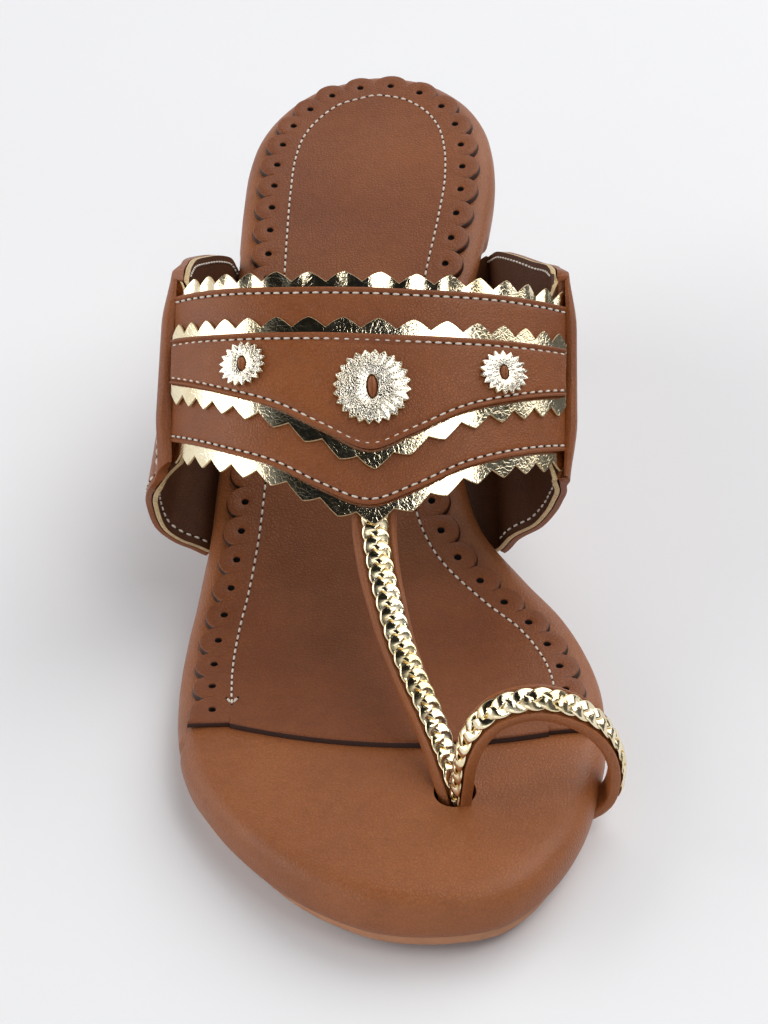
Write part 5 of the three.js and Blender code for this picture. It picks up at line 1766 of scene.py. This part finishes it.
@dataclass
class Straps:
    """Toe strap and toe loop of rolled leather, each with a plait of gold foil on it."""

    bed: Bed
    thick: float = 2.0
    gap: float = 0.25
    plait_period: float = 8.8
    plait_half: float = 1.12
    strand_half: float = 1.2
    strand_thick: float = 0.3
    t_half: float = 4.4
    loop_half: float = 3.3
    loop_height: float = 18.6

    def __post_init__(self) -> None:
        """Reads both straps."""
        self.t_strap = Ribbon(self.bed, T_STRAP, INSTEP_HEIGHT, self.t_half)
        self.toe_loop = Ribbon(self.bed, TOE_LOOP, self.loop_height, self.loop_half)

    def make_strap(self, name: str, ribbon: Ribbon, lips: tuple[float, float]) -> Piece:
        """Rolled strap with a raised lip on either side of its plait.

        Args:
            name: Name of the piece.
            ribbon: Its centre line.
            lips: Rise of the lip on the side away from the direction across, and toward it.

        Returns:
            The new piece.
        """
        u = np.linspace(0, ribbon.last, ribbon.last * 9 + 1)
        point, wide, up, half = ribbon.frames(u)
        turn = np.linspace(0, 2 * math.pi, 41)
        a, b = signed_power(np.cos(turn), 0.55), signed_power(np.sin(turn), 0.62)
        outside = b < 0
        lift = np.where(a < 0, lips[0], lips[1]) * ramp(np.abs(a), 0.55, 0.8) \
            * (1 - 0.5 * ramp(np.abs(a), 0.9, 1.0))
        b = b * self.thick / 2 - outside * lift
        rings = (point[:, None] + wide[:, None] * (a[None, :, None] * half[:, None, None])
                 + up[:, None] * b[None, :, None])
        caps = [np.repeat(rings[end].mean(axis=0)[None, None], rings.shape[1], axis=1)
                for end in (0, -1)]
        net = np.concatenate([caps[0], rings, caps[1]], axis=0)
        piece = Piece.sheet(name, net, loop=True)
        return piece.smooth(60).dress(Dress.STRAP).seat("upper_leather")

    def make_plait(self, name: str, ribbon: Ribbon, start: float, end: float,
                   shift: tuple[float, float], width: tuple[float, float], node: str) -> Piece:
        """Three flat strands plaited over the strap.

        Args:
            name: Name of the piece.
            ribbon: Centre line of the strap under it.
            start: Row of the strap table where it starts.
            end: Row where it ends.
            shift: Distance of its middle from the strap's, at its start and end.
            width: Share of the full width at its start and end.
            node: Node that it stands for.

        Returns:
            The new piece.
        """
        fine = np.linspace(start, end, 2000)
        point, wide, up, half = ribbon.frames(fine)
        lengths = along(point)
        count = int(lengths[-1] / self.plait_period * 30)
        at = np.linspace(0, lengths[-1], count)
        point, wide, up = (read_path(values, lengths, at) for values in (point, wide, up))
        wide, out = unit(wide), -unit(up)
        half = np.interp(at, lengths, half)
        run = np.linspace(0, 1, count)
        size = np.minimum(half / 2.4, 1.0) * (width[0] + (width[1] - width[0]) * run)
        aside = shift[0] + (shift[1] - shift[0]) * run
        base = self.thick / 2 + self.gap + 0.42
        turn = np.linspace(0, 2 * math.pi, 15)
        points, faces, offset = [], [], 0
        for strand in range(3):
            phase = 2 * math.pi * (at / self.plait_period + strand / 3)
            across = signed_power(np.sin(phase), 0.9) * self.plait_half * size + aside
            rise = 0.36 * np.sin(2 * phase)
            centre = point + wide * across[:, None] + out * (base + rise)[:, None]
            ahead = unit(np.gradient(centre, axis=0))
            tilt = unit(out + wide * (0.35 * np.cos(phase))[:, None])
            flat = unit(np.cross(tilt, ahead))
            normal = np.cross(ahead, flat)
            a, b = signed_power(np.cos(turn), 0.8), np.sin(turn)
            ring = (centre[:, None]
                    + flat[:, None] * (a[None, :, None] * (self.strand_half * size)[:, None, None])
                    + normal[:, None] * (b[None, :, None] * self.strand_thick))
            ring = ring[:, :-1]
            rings, columns = ring.shape[:2]
            points.append(ring.reshape(-1, 3))
            for i in range(rings - 1):
                for j in range(columns):
                    p, q = offset + i * columns + j, offset + i * columns + (j + 1) % columns
                    faces.append((p, q, q + columns, p + columns))
            faces.append(tuple(offset + j for j in range(columns))[::-1])
            faces.append(tuple(offset + (rings - 1) * columns + j for j in range(columns)))
            offset += rings * columns
        piece = Piece.mesh(name, np.vstack(points), faces)
        piece.weld(0.0001)
        return piece.smooth(60).dress(Dress.BRAID).seat("foil", node)

    def build(self) -> None:
        """Makes both straps and their plaits."""
        self.make_strap("toe_strap_leather", self.t_strap, (0.75, 0.6))
        self.make_strap("toe_loop_leather", self.toe_loop, (0.5, 0.6))
        self.make_plait("t_strap_plait", self.t_strap, 1.2, 10.2, (0.1, 0.9), (1.12, 0.95),
                        "t_strap_braid")
        self.make_plait("toe_loop_plait", self.toe_loop, 1.2, 10.7, (0.2, 0.2), (0.95, 0.95),
                        "toe_loop_braid")


@dataclass
class Studio:
    """Pale floor, soft lights and the camera."""

    eye: tuple[float, float, float] = (14.70, -388.64, 319.11)
    sight: tuple[float, float, float] = (-0.0254, 0.8236, -0.5666)
    upright: tuple[float, float, float] = (0.0577, 0.5673, 0.8215)
    lens: float = 89.2

    def light(self, name: str, place: tuple, size: tuple, power: float, tint: tuple,
              target: tuple = (0, 0.03, 0.03)) -> None:
        """Soft area light aimed at the shoe."""
        data = bpy.data.lights.new(name, "AREA")
        data.shape = "RECTANGLE"
        data.size, data.size_y = size
        data.energy = power
        data.color = tint
        obj = bpy.data.objects.new(name, data)
        bpy.context.scene.collection.objects.link(obj)
        obj.location = place
        aim = np.array(target) - np.array(place)
        obj.rotation_euler = self.facing(aim)

    @staticmethod
    def sky() -> None:
        """Pale surround, dark overhead on the photographer's side and low on the right."""
        world = bpy.data.worlds.new("studio")
        bpy.context.scene.world = world
        world.use_nodes = True
        tree = world.node_tree
        coords = tree.nodes.new("ShaderNodeTexCoord")
        parts = tree.nodes.new("ShaderNodeSeparateXYZ")
        tree.links.new(coords.outputs["Generated"], parts.inputs["Vector"])
        back = tree.nodes["Background"]
        back.inputs["Color"].default_value = (0.95, 0.97, 1.0, 1.0)
        strength = None
        for axis, start, end, first, last in (("Z", 0.35, 0.8, 1.0, 0.01),
                                              ("X", 0.45, 0.75, 1.0, 0.12)):
            fade = tree.nodes.new("ShaderNodeMapRange")
            for key, value in (("From Min", start), ("From Max", end), ("To Min", first),
                               ("To Max", last)):
                fade.inputs[key].default_value = value
            tree.links.new(parts.outputs[axis], fade.inputs["Value"])
            if strength is None:
                strength = fade.outputs["Result"]
                continue
            both = tree.nodes.new("ShaderNodeMath")
            both.operation = "MULTIPLY"
            tree.links.new(strength, both.inputs[0])
            tree.links.new(fade.outputs["Result"], both.inputs[1])
            strength = both.outputs[0]
        tree.links.new(strength, back.inputs["Strength"])

    @staticmethod
    def facing(aim: np.ndarray) -> tuple[float, float, float]:
        """Turn that points an object's -Z along a direction, its Y upward."""
        flat = math.hypot(aim[0], aim[1])
        return (math.atan2(flat, -aim[2]), 0.0, math.atan2(-aim[0], aim[1]))

    def build(self) -> None:
        """Sets the floor, the lights, the world and the camera."""
        Piece.clear()
        bpy.ops.mesh.primitive_plane_add(size=8.0, location=(0, 0, -0.0002))
        floor = bpy.context.object
        floor.name = "floor"
        bpy.ops.object.transform_apply(location=True)
        floor.data.materials.append(Dress.PAPER.material)
        self.light("key", (1.15, 0.75, 1.7), (2.5, 2.5), 47.5, (1.0, 0.985, 0.965))
        self.light("sheen", (0.62, -0.78, 1.75), (0.75, 0.7), 7.0, (1.0, 1.0, 1.0))
        self.light("kicker", (-1.85, 0.1, 1.05), (1.9, 1.0), 15.0, (1.0, 0.97, 0.93))
        self.light("front", (-0.5, -2.0, 1.0), (1.6, 0.7), 2.5, (1.0, 1.0, 1.0))
        self.sky()
        bpy.context.scene.view_settings.view_transform = "Standard"
        data = bpy.data.cameras.new("camera")
        data.sensor_fit = "VERTICAL"
        data.sensor_height = 36.0
        data.lens = self.lens
        camera = bpy.data.objects.new("camera", data)
        bpy.context.scene.collection.objects.link(camera)
        camera.location = tuple(np.array(self.eye) * MM)
        back = -unit(np.array(self.sight))
        right = unit(np.cross(self.upright, back))
        turn = Matrix(np.column_stack([right, np.cross(back, right), back]).tolist())
        camera.rotation_euler = turn.to_euler()
        bpy.context.scene.camera = camera


def main() -> None:
    """Builds the sandal from the sole up, then the studio."""
    logging.basicConfig(level=logging.INFO, format="%(message)s")
    bed = Bed()
    vault = Vault(bed)
    sewing = Sewing()
    for part in (Sole(bed), Sock(bed, sewing), Instep(bed, vault, sewing), Band(vault, sewing),
                 Straps(bed), Studio()):
        LOG.info("building %s", type(part).__name__)
        part.build()


if __name__ == "__main__":
    main()
